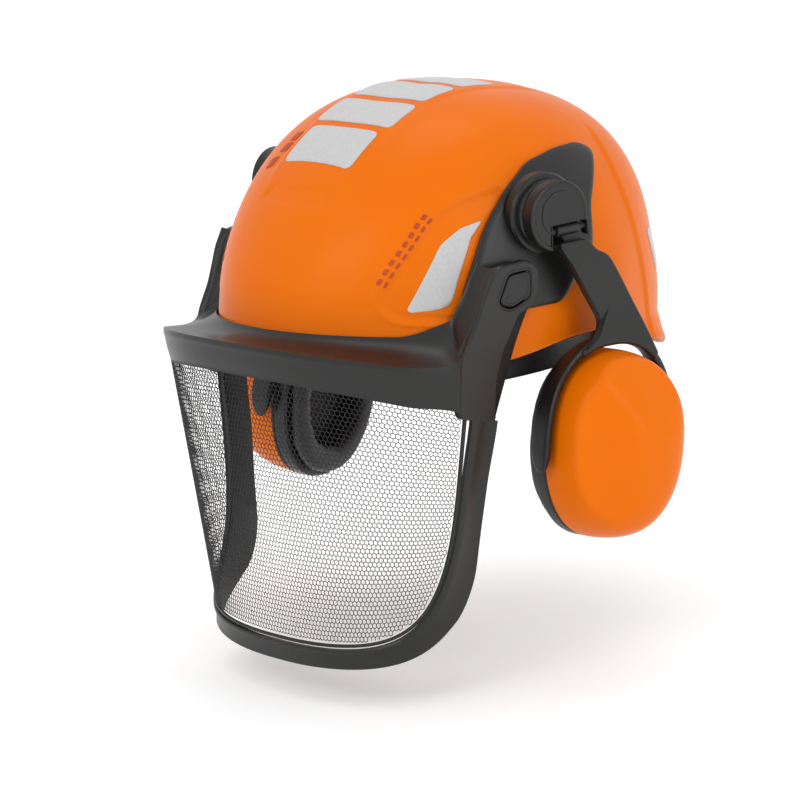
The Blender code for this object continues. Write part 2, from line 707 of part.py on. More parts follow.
KNUCKLE_X = (HANGER_X[0] + HANGER_X[1]) / 2
NOTCH_Y = (-6.0, 20.0)
KNUCKLE_TOP = -4.6             # the notch reaches up to here
HANGER_HALF_WIDTH = 6.0
YOKE_OUTLINE = [(-5, -15.3), (17.3, -15.6), (22, -23), (30.7, -27.2), (36, -37.2), (44, -55), (53, -74), (60, -91),
                (57.5, -94.5), (49.2, -86.5), (41, -82.3), (33.2, -80.3), (24, -79.8), (16.1, -79.6), (5.2, -83),
                (3.6, -79.4), (14, -74.3), (19.3, -69), (19.8, -63), (11.5, -46.3), (2.8, -27.8)]


def make_hanger(hang, arm):
    """The strap that hangs from the knuckle pin and carries the sliding yoke."""
    place = (KNUCKLE_X, -KNUCKLE_DROP)
    strap = block("muff_hanger_left", (HANGER_X[0], -HANGER_HALF_WIDTH, -62),
                  (HANGER_X[1], HANGER_HALF_WIDTH, -KNUCKLE_DROP - 2), DARK, turned=arm)
    barrel = rod("hanger_barrel", "Y", 3.8, KNUCKLE_Y - 8, KNUCKLE_Y + 8, place, collection=CUTTERS,
                 turned=hang, sides=20)
    eye = rod("hanger_eye", "Y", KNUCKLE_RADIUS + GAP, KNUCKLE_Y - 20, KNUCKLE_Y + 20, place,
              collection=CUTTERS, turned=hang, sides=16)
    boolean(strap, barrel, "UNION")
    boolean(strap, eye)
    return strap


def make_yoke(hang, arm, cup):
    """The arm's outer plate and the fork that holds the cup."""
    yoke = side_plate("muff_yoke_left", rounded(YOKE_OUTLINE, 4), *ARM_X, BLACK, turned=hang)
    for sign in (1, -1):
        low, high = sorted((sign * (HANGER_HALF_WIDTH + 0.4), sign * (HANGER_HALF_WIDTH + 2.9)))
        rail = block("yoke_rail", (HANGER_X[0], low, -70), (ARM_X[0] + 1, high, -29), collection=CUTTERS,
                     turned=arm)
        boolean(yoke, rail, "UNION")
    fork = make_fork(cup)
    boolean(yoke, fork, "UNION")
    holes = rod("fork_holes", "Y", TRUNNION_RADIUS + GAP, -80, 80, (TRUNNION_X, -TILT_DROP),
                collection=CUTTERS, turned=cup, sides=20)
    boolean(yoke, holes)
    return yoke


TRUNNION_RADIUS = 3.0
TRUNNION_X = BASE_X[1] - TRUNNION_RADIUS - 0.5


def make_fork(cup):
    """A flat band from one pivot over the cup's top to the other."""
    rings = []
    steps = 32
    for k in range(steps + 1):
        around = -FORK_REACH + 2 * FORK_REACH * k / steps
        turn = math.radians(around)
        top_share = ease(1 - abs(around) / 62)
        middle = FORK_X + (sum(ARM_X) / 2 - CUP_CENTRE[0] - FORK_X) * top_share
        width = (FORK_WIDTH + (ARM_X[1] - ARM_X[0] - FORK_WIDTH) * top_share) / 2
        inner = CUP_HALF_WIDTH + 3.6
        rise = CUP_HALF_HEIGHT + 3.6
        wall = FORK_THICKNESS + 3 * top_share
        out = Vector((0, power(math.sin(turn), 2.25), power(math.cos(turn), 2.25)))
        near = Vector((0, out.y * inner, out.z * rise))
        far = Vector((0, out.y * (inner + wall), out.z * (rise + wall)))
        rings.append([near + Vector((middle - width, 0, 0)), near + Vector((middle + width, 0, 0)),
                      far + Vector((middle + width, 0, 0)), far + Vector((middle - width, 0, 0))])
    return loft("yoke_fork", rings, collection=CUTTERS, turned=cup)


DOME_SECTIONS = ((1.0, 0.0), (1.0, 0.14), (0.975, 0.40), (0.92, 0.62), (0.80, 0.81), (0.60, 0.93), (0.34, 0.985), (0.12, 1.0))


def make_cup(cup):
    """One ear cup: its orange dome, black base ring, foam insert and ear cushion."""
    bm = bmesh.new()
    rows = []
    for scale, depth in DOME_SECTIONS:
        ring = cup_outline(scale, BASE_X[1] + GAP + DOME_DEPTH * depth)
        rows.append([bm.verts.new(corner) for corner in ring])
    for near, far in zip(rows, rows[1:]):
        for k in range(len(near)):
            after = (k + 1) % len(near)
            bm.faces.new((near[k], near[after], far[after], far[k]))
    bm.faces.new(rows[-1])
    dome = to_mesh("cup_shell_left", bm, ORANGE, turned=cup)
    wall = dome.modifiers.new("wall", "SOLIDIFY")
    wall.thickness = 2.4 * MM
    wall.offset = -1
    low, high = BASE_X
    base = ring_solid("cup_base_left", [(1.0, low), (1.0, high), (0.66, high), (0.66, low)], BLACK, cup)
    for sign in (1, -1):
        near, far = sorted((sign * (CUP_HALF_WIDTH - 4), sign * (CUP_HALF_WIDTH + 6.5)))
        trunnion = rod("trunnion", "Y", TRUNNION_RADIUS, near, far, (TRUNNION_X, -TILT_DROP),
                       collection=CUTTERS, turned=cup, sides=20)
        boolean(base, trunnion, "UNION")
    face = low - GAP
    deep = face - CUSHION_DEPTH
    cushion = ring_solid("ear_cushion_left", [(0.95, face), (0.62, face), (0.56, face - 4), (0.58, deep + 2),
                                              (0.66, deep), (0.84, deep), (0.94, deep + 2.5), (0.97, deep + 6)],
                         SOFT_BLACK, cup)
    foam = loft("foam_insert_left", [cup_outline(scale, x) for scale, x in ((0.7, 8), (0.86, 9), (0.86, 18), (0.78, 22))],
                FOAM, turned=cup)
    return [dome, base, cushion, foam]


def make_muffs():
    hub = hub_frame()
    hang = hang_frame()
    arm = arm_frame()
    cup = cup_frame()
    bodies = (("swivel", make_turntable(hub), hub @ Vector((TURNTABLE_X[0], 0, 0))),
              ("swing", [make_hanger(hang, arm)], hub @ Vector((KNUCKLE_X, KNUCKLE_Y, -KNUCKLE_DROP))),
              ("height", [make_yoke(hang, arm, cup)], arm @ Vector((ARM_X[0], 0, -40))),
              ("tilt", make_cup(cup), cup @ Vector((TRUNNION_X, 0, -TILT_DROP))))
    for name, pieces, place in bodies:
        others = [mirror_to_right(piece) for piece in pieces]
        joint_frame(f"muff_{name}_left_axis", place, pieces)
        joint_frame(f"muff_{name}_right_axis", (-place.x, place.y, place.z), others)


def main():
    make_shell()
    film_in = dome_solid("film_inner_face", 0.35)
    film_out = dome_solid("film_outer_face", 1.0)
    plate_in = dome_solid("adapter_inner_face", 0.4)
    plate_out = dome_solid("adapter_outer_face", 3.2)
    base_in = dome_solid("hub_inner_face", 3.6)
    make_fixed_side(film_in, film_out, plate_in, plate_out, base_in)
    make_top_films(film_in, film_out)
    make_harness()
    make_adjuster()
    make_visor()
    make_lock_buttons()
    make_muffs()


main()
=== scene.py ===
"""Looks of the forestry helmet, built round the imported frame.

Sizes are in millimetres in the frame's own axes (+Z up, front -Y, the wearer's left +X) and are written to
meshes in metres.  The wearer's left pieces are made first and mirrored to the right.
"""
import math

import bmesh
import bpy
import numpy as np
from mathutils import Matrix, Vector
from mathutils.bvhtree import BVHTree


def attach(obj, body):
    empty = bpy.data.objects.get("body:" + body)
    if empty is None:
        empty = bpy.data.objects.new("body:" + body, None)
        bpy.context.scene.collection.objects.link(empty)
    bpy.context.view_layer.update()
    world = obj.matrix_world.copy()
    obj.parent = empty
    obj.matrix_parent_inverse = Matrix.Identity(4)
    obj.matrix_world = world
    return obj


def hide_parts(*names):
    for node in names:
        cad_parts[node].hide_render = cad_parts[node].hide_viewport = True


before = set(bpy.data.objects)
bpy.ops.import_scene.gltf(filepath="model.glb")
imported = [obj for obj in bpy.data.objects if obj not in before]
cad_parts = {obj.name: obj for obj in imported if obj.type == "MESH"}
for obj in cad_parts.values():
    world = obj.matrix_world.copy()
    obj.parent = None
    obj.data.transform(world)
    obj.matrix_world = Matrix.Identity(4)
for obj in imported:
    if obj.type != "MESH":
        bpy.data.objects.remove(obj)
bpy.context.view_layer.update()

MM = 0.001
SIDES = (("left", 1), ("right", -1))

# --- the shapes the frame was built from -----------------------------------------------------------
SHELL_HALF_WIDTH, SHELL_FRONT, SHELL_BACK, SHELL_HEIGHT = 110.0, 145.8, 138.8, 136.1
PLAN_EXPONENT, FRONT_EXPONENT, SIDE_EXPONENT, BACK_EXPONENT = 2.08, 1.89, 2.71, 2.68
PITCH = 7.0
WALL = 2.6
SKIRT = ((0, 7), (48, 12), (66, 15), (97, 1.5), (110, 2), (129, 15), (153, 25), (180, 28))
SKIRT_FLARE, FLARE_START, FLARE_SPREAD = 8.0, 112.0, 26.0
BAND_RADIUS, BAND_FRONT, BAND_CENTRE_Y, BAND_WALL = 84.0, 112.0, 8.0, 1.8
BAND_LOW, BAND_HIGH, BAND_END = -27.0, 5.0, 134.0
TRACK_RADIUS, TRACK_WALL, TRACK_MIDDLE_Z, PINION_RADIUS, RACK_HEIGHT = 86.4, 1.6, -13.0, 4.7, 7.0
VISOR_PIVOT = (-52.3, 36.7)
VISOR_TOP = dict(half=107.3, centre=-77.2, front=-169.1, z=-28.1, slope=-0.375)
VISOR_FOOT = dict(half=91.3, centre=-94.2, front=-150.8, z=-162.5, slope=0.186)
BROW_CREASE = dict(half=111.6, centre=-78.0, front=-171.6, z=-2.8, slope=-0.278)
VISOR_EXPONENT, BROW_EXPONENT, BROW_END, BROW_ANGLE, SEAT_GAP = 2.36, 2.31, 81.0, 56.0, 2.8
ARM_OUTLINE = [(-66, 51), (-40.5, 51), (-31.5, 41), (-33.5, 28), (-52, 12.5), (-60.5, 1.5), (-66, -14),
               (-67.0, -40.5), (-96.2, -31.0), (-95.3, 4), (-84, 19.5), (-74.5, 40)]
WINDOW_OUTLINE = [(-58, 45.5), (-40, 45), (-39, 29), (-55.5, 24.5), (-66, 29.3)]
BUTTON_OUTLINE = [(-57, 44.5), (-41, 44), (-40.2, 29.8), (-55.4, 25.7), (-64.6, 29.9)]
ARM_OUTER_X, ARM_SPLAY, ARM_THICKNESS, WINDOW_DEPTH = 114.0, 0.09, 5.8, 3.9
HUB = (103.0, -16.4, 71.8)
TOE_OUT, SPLAY, ARM_LEAN, ARM_OFFSET_Y = 7.0, 3.9, 27.0, 3.0
TURNTABLE_RADIUS, TURNTABLE_X, ARM_X, HANGER_X = 20.5, (11.3, 20.5), (17.6, 23.5), (13.8, 16.9)
KNUCKLE_Y, KNUCKLE_DROP, KNUCKLE_RADIUS = 7.0, 9.0, 1.9
KNUCKLE_X = sum(HANGER_X) / 2
CUP_CENTRE, CUP_LEAN, CUP_HALF_WIDTH, CUP_HALF_HEIGHT = (3.7, 20.1, -136.9), 13.0, 40.2, 54.7
BASE_X, DOME_DEPTH, CUSHION_DEPTH, TILT_DROP = (-5.5, 6.0), 45.0, 11.0, 5.0
FORK_X, FORK_WIDTH, FORK_THICKNESS, FORK_REACH, BOSS_X = 10.0, 14.5, 4.2, 105.0, 5.7
ADAPTER_OUTLINE = [(47.5, 95), (36, 101.5), (13, 102), (-12, 98.5), (-31.6, 87.6), (-46.8, 74.5), (-55.4, 64.5),
                   (-67.2, 44.3), (-73.4, 32.3), (-67, 28), (-51, 22.3), (-37, 20), (-9, 19), (4.5, 32),
                   (20, 44), (26, 68.7)]
SIDE_FILM = [(-49.5, 72.8), (-64, 70), (-76.5, 62.5), (-89, 45.2), (-100.8, 27.5), (-85, 27), (-77.7, 29.4),
             (-70.8, 44.5), (-58.8, 65.7)]
REAR_FILM = [(92, 39.5), (105, 39), (108.5, 13.5), (101, 12)]
TOP_FILMS = ((-91, -65), (-60.5, -37), (-31.5, -5), (1, 28))
TOP_FILM_HALF_WIDTHS = (28.0, 31.5, 30.5, 29.0)
YOKE_OUTLINE = [(-5, -15.3), (17.3, -15.6), (22, -23), (30.7, -27.2), (36, -37.2), (44, -55), (53, -74),
                (60, -91), (57.5, -94.5), (49.2, -86.5), (41, -82.3), (33.2, -80.3), (24, -79.8),
                (16.1, -79.6), (5.2, -83), (3.6, -79.4), (14, -74.3), (19.3, -69), (19.8, -63),
                (11.5, -46.3), (2.8, -27.8)]


# --- small mathematics -----------------------------------------------------------------------------
def power(value, exponent):
    """One coordinate of a superellipse, from a sine or cosine."""
    return np.sign(value) * np.abs(value) ** (2 / exponent)


def ease(value):
    """A smooth 0 to 1, flat at both ends."""
    value = np.clip(value, 0.0, 1.0)
    return value * value * (3 - 2 * value)


def step(low, high, value):
    return ease((value - low) / (high - low))


def between(table, value):
    """The eased value between a table's (place, size) rows."""
    places = np.array([row[0] for row in table], float)
    sizes = np.array([row[1] for row in table], float)
    index = np.clip(np.searchsorted(places, value) - 1, 0, len(places) - 2)
    share = ease((value - places[index]) / (places[index + 1] - places[index]))
    return sizes[index] + (sizes[index + 1] - sizes[index]) * share


def rounded(corners, radius, steps=8):
    """A closed outline with each corner turned into a short curve, as an array of points."""
    corners = [np.array(c, float) for c in corners]
    outline = []
    for before, corner, after in zip(corners[-1:] + corners[:-1], corners, corners[1:] + corners[:1]):
        back, ahead = before - corner, after - corner
        reach = min(radius, np.linalg.norm(back) * 0.45, np.linalg.norm(ahead) * 0.45)
        start = corner + back / np.linalg.norm(back) * reach
        end = corner + ahead / np.linalg.norm(ahead) * reach
        for t in np.linspace(0, 1, steps + 1):
            outline.append((1 - t) ** 2 * start + 2 * t * (1 - t) * corner + t * t * end)
    return np.array(outline)


def travelled(points):
    """How far along a line each of its points is."""
    return np.concatenate([[0], np.cumsum(np.linalg.norm(np.diff(points, axis=0), axis=1))])


def even(outline, count):
    """The closed outline with its points spread evenly along it."""
    loop = np.vstack([outline, outline[:1]])
    length = travelled(loop)
    places = np.linspace(0, length[-1], count, endpoint=False)
    return np.stack([np.interp(places, length, loop[:, k]) for k in range(loop.shape[1])], axis=1)


def inset(outline, distance):
    """A closed flat outline moved inward by a distance."""
    ahead = np.roll(outline, -1, axis=0) - np.roll(outline, 1, axis=0)
    normal = np.stack([-ahead[:, 1], ahead[:, 0]], axis=1)
    normal /= np.maximum(np.linalg.norm(normal, axis=1, keepdims=True), 1e-9)
    area = np.sum(outline[:, 0] * np.roll(outline[:, 1], -1) - np.roll(outline[:, 0], -1) * outline[:, 1])
    return outline + normal * distance * math.copysign(1, area)


def edge_distance(points, outline):
    """How far each flat point is from a closed outline: positive inside."""
    nearest = np.full(len(points), 1e9)
    inside = np.zeros(len(points), bool)
    for start, end in zip(outline, np.roll(outline, -1, axis=0)):
        along = end - start
        share = np.clip(((points - start) @ along) / max(along @ along, 1e-9), 0, 1)
        nearest = np.minimum(nearest, np.linalg.norm(points - start - share[:, None] * along, axis=1))
        crossing = (start[1] > points[:, 1]) != (end[1] > points[:, 1])
        rise = along[1] if abs(along[1]) > 1e-9 else 1e-9
        inside ^= crossing & (points[:, 0] < start[0] + along[0] * (points[:, 1] - start[1]) / rise)
    return np.where(inside, nearest, -nearest)


def placed(points, matrix):
    matrix = np.array(matrix)
    return points @ matrix[:3, :3].T + matrix[:3, 3]


# --- materials -------------------------------------------------------------------------------------
class Finish:
    """A Principled material whose colour, roughness and relief come from procedural textures."""

    def __init__(self, name, roughness=0.5, metallic=0.0, **sockets):
        self.material = bpy.data.materials.new(name)
        self.material.use_nodes = True
        self.nodes = self.material.node_tree.nodes
        self.links = self.material.node_tree.links
        self.shader = self.nodes["Principled BSDF"]
        self.shader.inputs["Roughness"].default_value = roughness
        self.shader.inputs["Metallic"].default_value = metallic
        for socket, value in sockets.items():
            self.shader.inputs[socket.replace("_", " ")].default_value = value
        self.place = self.nodes.new("ShaderNodeTexCoord").outputs["Object"]
        self.height = None

    def texture(self, kind, **inputs):
        made = self.nodes.new("ShaderNodeTex" + kind)
        for socket, value in inputs.items():
            made.inputs[socket].default_value = value
        self.links.new(self.place, made.inputs["Vector"])
        return made

    def noise(self, scale, detail=4.0):
        return self.texture("Noise", Scale=scale, Detail=detail, Roughness=0.55).outputs["Fac"]

    def cells(self, scale, feature="F1"):
        made = self.texture("Voronoi", Scale=scale)
        made.feature = feature
        return made.outputs["Distance"]

    def wave(self, scale, direction, distortion=0.0):
        made = self.texture("Wave", Scale=scale, Distortion=distortion)
        made.bands_direction = direction
        return made.outputs["Fac"]

    def product(self, first, second):
        made = self.nodes.new("ShaderNodeMath")
        made.operation = "MULTIPLY"
        self.links.new(first, made.inputs[0])
        self.links.new(second, made.inputs[1])
        return made.outputs[0]

    def colours(self, source, stops):
        ramp = self.nodes.new("ShaderNodeValToRGB")
        while len(ramp.color_ramp.elements) < len(stops):
            ramp.color_ramp.elements.new(0.5)
        for element, (place, colour) in zip(ramp.color_ramp.elements, stops):
            element.position = place
            element.color = (*colour, 1.0)
        self.links.new(source, ramp.inputs["Fac"])
        self.links.new(ramp.outputs["Color"], self.shader.inputs["Base Color"])

    def vary_roughness(self, source, low, high):
        spread = self.nodes.new("ShaderNodeMapRange")
        spread.inputs["To Min"].default_value = low
        spread.inputs["To Max"].default_value = high
        self.links.new(source, spread.inputs["Value"])
        self.links.new(spread.outputs["Result"], self.shader.inputs["Roughness"])

    def relief(self, source, strength, depth):
        bump = self.nodes.new("ShaderNodeBump")
        bump.inputs["Strength"].default_value = strength
        bump.inputs["Distance"].default_value = depth * MM
        self.links.new(source, bump.inputs["Height"])
        if self.height is not None:
            self.links.new(self.height, bump.inputs["Normal"])
        self.height = bump.outputs["Normal"]
        self.links.new(self.height, self.shader.inputs["Normal"])


def moulded(name, light, dark, roughness, grain, depth):
    """Moulded plastic: faint blotches of shade and a fine eroded grain."""
    made = Finish(name, roughness, Specular_IOR_Level=0.42)
    patches = made.noise(14.0, 3.0)
    made.colours(patches, ((0.3, dark), (0.7, light)))
    made.vary_roughness(made.noise(60.0, 5.0), roughness - 0.05, roughness + 0.07)
    made.relief(made.noise(grain, 3.0), 0.35, depth)
    return made.material


def grey(level):
    return (level, level, level)


def make_materials():
    kept = {}
    orange = Finish("orange_plastic", 0.34, Specular_IOR_Level=0.10)
    orange.colours(orange.noise(9.0, 3.0), ((0.25, (0.68, 0.128, 0.0)), (0.75, (0.73, 0.148, 0.0))))
    orange.vary_roughness(orange.noise(45.0, 5.0), 0.28, 0.38)
    orange.relief(orange.noise(900.0, 2.0), 0.12, 0.02)
    orange.relief(orange.noise(26.0, 2.0), 0.05, 0.25)
    kept["orange"] = orange.material
    kept["black"] = moulded("black_plastic", (0.0085, 0.0085, 0.0078), (0.0055, 0.0055, 0.005), 0.34,
                            1500.0, 0.05)
    kept["grained"] = moulded("grained_plastic", grey(0.014), grey(0.009), 0.5, 1100.0, 0.09)
    kept["harness"] = moulded("harness_plastic", (0.016, 0.016, 0.017), (0.010, 0.010, 0.011), 0.45,
                              1300.0, 0.06)
    # painted shade: a darker orange for the shadow inside the slits and vents, laid on flat plates
    kept["slot"] = moulded("slot_shadow", (0.46, 0.050, 0.0), (0.34, 0.034, 0.0), 0.6, 900.0, 0.05)
    film = Finish("reflective_film", 0.38)
    beads = film.cells(520.0)
    film.colours(beads, ((0.0, (0.52, 0.52, 0.515)), (0.6, (0.46, 0.465, 0.46))))
    film.vary_roughness(film.noise(80.0, 3.0), 0.32, 0.46)
    film.relief(beads, 0.08, 0.02)
    kept["film"] = film.material
    wire = Finish("woven_mesh", 0.42)
    wire.colours(wire.noise(220.0, 2.0), ((0.3, grey(0.006)), (0.7, grey(0.014))))
    wire.relief(wire.noise(1800.0, 2.0), 0.3, 0.02)
    kept["wire"] = wire.material
    skin = Finish("cushion_skin", 0.55, Sheen_Weight=0.15)
    pores = skin.cells(650.0, "DISTANCE_TO_EDGE")
    skin.colours(skin.noise(30.0, 4.0), ((0.3, (0.012, 0.012, 0.013)), (0.7, (0.024, 0.024, 0.025))))
    skin.vary_roughness(skin.noise(120.0, 4.0), 0.46, 0.64)
    skin.relief(pores, 0.35, 0.08)
    skin.relief(skin.noise(55.0, 3.0), 0.3, 0.4)
    kept["skin"] = skin.material
    cloth = Finish("pad_fabric", 0.9, Sheen_Weight=0.4)
    threads = cloth.product(cloth.wave(420.0, "Z", 1.5), cloth.wave(420.0, "X", 1.5))
    cloth.colours(threads, ((0.0, (0.010, 0.010, 0.011)), (0.9, (0.036, 0.036, 0.038))))
    cloth.relief(threads, 0.6, 0.15)
    kept["cloth"] = cloth.material
    strap = Finish("webbing", 0.75, Sheen_Weight=0.3)
    ribs = strap.product(strap.wave(300.0, "DIAGONAL"), strap.wave(330.0, "Z"))
    strap.colours(ribs, ((0.0, (0.018, 0.018, 0.020)), (0.8, (0.060, 0.060, 0.064))))
    strap.relief(ribs, 0.7, 0.2)
    kept["strap"] = strap.material
    foam = Finish("open_foam", 0.95)
    bubbles = foam.cells(420.0)
    foam.colours(bubbles, ((0.0, (0.012, 0.012, 0.012)), (0.7, (0.045, 0.045, 0.047))))
    foam.relief(bubbles, 0.8, 0.5)
    kept["foam"] = foam.material
    steel = Finish("turned_steel", 0.3, 1.0)
    lines = steel.wave(900.0, "X", 4.0)
    steel.colours(lines, ((0.2, (0.42, 0.42, 0.43)), (0.8, (0.58, 0.58, 0.59))))
    steel.vary_roughness(lines, 0.25, 0.4)
    kept["steel"] = steel.material
    return kept


FINISH = make_materials()


# --- pieces ----------------------------------------------------------------------------------------
def linked(name, data):
    made = bpy.data.objects.new(name, data)
    bpy.context.scene.collection.objects.link(made)
    return made


def raw_mesh(name, points, faces):
    mesh = bpy.data.meshes.new(name)
    mesh.from_pydata((np.asarray(points) * MM).tolist(), [], [list(face) for face in faces])
    return mesh


def piece(name, points, faces, body, finish, slot, replaces=(), angle=35.0):
    """A visible mesh from points in millimetres, riding on a body."""
    mesh = raw_mesh(name, points, faces)
    mesh.materials.append(FINISH[finish])
    bm = bmesh.new()
    bm.from_mesh(mesh)
    bmesh.ops.remove_doubles(bm, verts=bm.verts, dist=1e-6)
    bmesh.ops.dissolve_degenerate(bm, edges=bm.edges, dist=1e-7)
    bmesh.ops.recalc_face_normals(bm, faces=bm.faces)
    bm.to_mesh(mesh)
    bm.free()
    mesh.shade_smooth()
    mesh.set_sharp_from_angle(angle=math.radians(angle))
    made = linked(name, mesh)
    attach(made, body)
    if replaces:
        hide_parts(*replaces)
    return made


def both(name, points, faces, body, finish, slot, node=None, angle=35.0):
    """The same piece on both sides; name, body and node take the side's word at the end."""
    points = np.asarray(points)
    made = []
    for side, sign in SIDES:
        nodes = (f"{node}_{side}",) if node else ()
        home = body if body in ("helmet", "visor") else f"{body}_{side}"
        made.append(piece(f"{name}_{side}", points * (sign, 1, 1), faces, home, finish, slot, nodes, angle))
    return made


def grid_faces(rows, columns, wrap_rows=False, wrap_columns=False, start=0):
    faces = []
    for i in range(rows if wrap_rows else rows - 1):
        for j in range(columns if wrap_columns else columns - 1):
            a = start + i * columns + j
            b = start + i * columns + (j + 1) % columns
            c = start + (i + 1) % rows * columns + (j + 1) % columns
            d = start + (i + 1) % rows * columns + j
            faces.append((a, b, c, d))
    return faces


def loft(rings, closed=False):
    """Points and faces of a solid through rings of the same length; its ends are capped unless closed."""
    rings = np.asarray(rings, float)
    rows, columns = rings.shape[:2]
    faces = grid_faces(rows, columns, closed, True)
    if not closed:
        faces.append(tuple(range(columns)))
        faces.append(tuple(range((rows - 1) * columns, rows * columns)))
    return rings.reshape(-1, 3), faces


def joined(*parts):
    """Several (points, faces) as one."""
    points, faces = [], []
    for some, their in parts:
        start = sum(len(p) for p in points)
        points.append(np.asarray(some, float))
        faces += [tuple(start + k for k in face) for face in their]
    return np.vstack(points), faces


def plate(outline, profile, lift, crown=()):
    """A plate with shaped edges.  profile lists (inset, height) from the back edge round to the front,
    crown lists (share towards the middle, height) for the front face, and lift turns (flat, height) into
    points."""
    rings = [lift(inset(outline, back), np.full(len(outline), height)) for back, height in profile]
    last = inset(outline, profile[-1][0])
    middle = last.mean(axis=0)
    for share, height in crown:
        rings.append(lift(last + (middle - last) * share, np.full(len(outline), height)))
    return loft(rings)


def turned(profile, steps=72, matrix=Matrix.Identity(4)):
    """A solid of revolution about X through (x, radius) rows; its ends are closed by flat caps."""
    angle = np.linspace(0, 2 * math.pi, steps, endpoint=False)
    rings = [np.stack([np.full(steps, x), radius * np.cos(angle), radius * np.sin(angle)], axis=1)
             for x, radius in profile]
    return loft([placed(ring, matrix) for ring in rings])


def rod(radius, start, end, steps=20, bevel=0.4):
    """A rod between two points with softened ends."""
    start, end = np.array(start, float), np.array(end, float)
    axis = (end - start) / np.linalg.norm(end - start)
    side = np.cross(axis, (0, 0, 1) if abs(axis[2]) < 0.9 else (1, 0, 0))
    side /= np.linalg.norm(side)
    other = np.cross(axis, side)
    angle = np.linspace(0, 2 * math.pi, steps, endpoint=False)[:, None]
    circle = np.cos(angle) * side + np.sin(angle) * other
    rows = ((start, radius - bevel), (start + axis * bevel, radius), (end - axis * bevel, radius),
            (end, radius - bevel))
    return loft([centre + circle * size for centre, size in rows])


# --- the shell's surface ---------------------------------------------------------------------------
COS_PITCH, SIN_PITCH = math.cos(math.radians(PITCH)), math.sin(math.radians(PITCH))


def tilted(points):
    """Points of the level dome turned to the pitch at which the shell is worn."""
    x, y, z = points[..., 0], points[..., 1], points[..., 2]
    return np.stack([x, y * COS_PITCH + z * SIN_PITCH, z * COS_PITCH - y * SIN_PITCH], axis=-1)


def dome(around, up, offset=0.0, drop=0.0):
    """Points of the plain outer shell; both angles in degrees, drop is how far below the rim plane."""
    turn, rise = np.radians(around), np.radians(up)
    side_share = np.sin(turn) ** 2
    end_exponent = np.where(np.cos(turn) > 0, FRONT_EXPONENT, BACK_EXPONENT)
    exponent = SIDE_EXPONENT * side_share + end_exponent * (1 - side_share)
    reach = np.maximum(np.cos(rise), 0) ** (2 / exponent)
    length = np.where(np.cos(turn) > 0, SHELL_FRONT, SHELL_BACK)
    x = (SHELL_HALF_WIDTH + offset) * reach * power(np.sin(turn), PLAN_EXPONENT)
    y = -(length + offset) * reach * power(np.cos(turn), PLAN_EXPONENT)
    z = (SHELL_HEIGHT + offset) * np.maximum(np.sin(rise), 0) ** (2 / exponent) - drop
    return tilted(np.stack([x, y, z], axis=-1))


def rise_steps(count):
    """Angles up the dome, spaced so that the rows come out about even."""
    t = np.linspace(0, 1, count)
    return 90 * t ** 1.35 / (t ** 1.35 + (1 - t) ** 1.35)


def skirt_depth(around):
    return between(SKIRT, np.minimum(around % 360, 360 - around % 360))


GROOVE = np.array([(-30, 92), (-45.6, 89), (-61.5, 85.4), (-76.8, 79.5), (-88.1, 68.2), (-100.7, 54.9),
                   (-110.5, 42.1), (-114, 35), (-111.6, 27.9), (-105.6, 22.5), (-92, 20), (-70, 16),
                   (-30, 14)], float)
REAR_CREASE = np.array([(60, 112), (63.7, 103.8), (64.2, 78), (74.6, 31.3), (83.4, -19.5)], float)
VENTS = ((-43.3, -85.9), (-39.5, -77.4), (-38.1, -69.9))


def shell_detail(points):
    """How far the moulded shell stands proud of the plain dome."""
    x, y, z = points[:, 0], points[:, 1], points[:, 2]
    ridge = 1 - step(31, 36, np.abs(x))
    raised = ridge * step(-103, -90, y) * (1 - step(46, 66, y)) * step(60, 80, z) * 1.0
    notch = step(84.0, 86.6, z) * (1 - step(92.0, 94.6, z)) * (1 - step(-92, -90, y))
    raised -= notch * (1 - step(-1.2, 1.8, np.abs(x) - 30 + (z - 86) * 0.8)) * 0.9
    outline = even(rounded([tuple(p) for p in GROOVE], 7, 4), 90)
    depth = edge_distance(np.stack([y, z], axis=1), outline)
    panel = step(0.0, 4.5, depth) * step(60, 75, np.abs(x)) * 1.7
    lip = np.exp(-((depth + 0.9) / 1.0) ** 2) * 0.55 * step(50, 62, np.abs(x)) * (1 - step(-60, -40, y))
    inner = np.exp(-((depth - 6.2) / 1.2) ** 2) * 0.5 * step(58, 66, np.abs(x)) * (1 - step(-82, -70, y))
    crease_y = np.interp(z, REAR_CREASE[::-1, 1], REAR_CREASE[::-1, 0])
    behind = y - crease_y
    rear = step(-34, -2, behind) * (1 - step(-1.0, 1.2, behind)) * step(55, 68, np.abs(x)) * 1.3
    rear *= 1 - step(98, 112, z)
    return raised - panel + lip + inner - rear


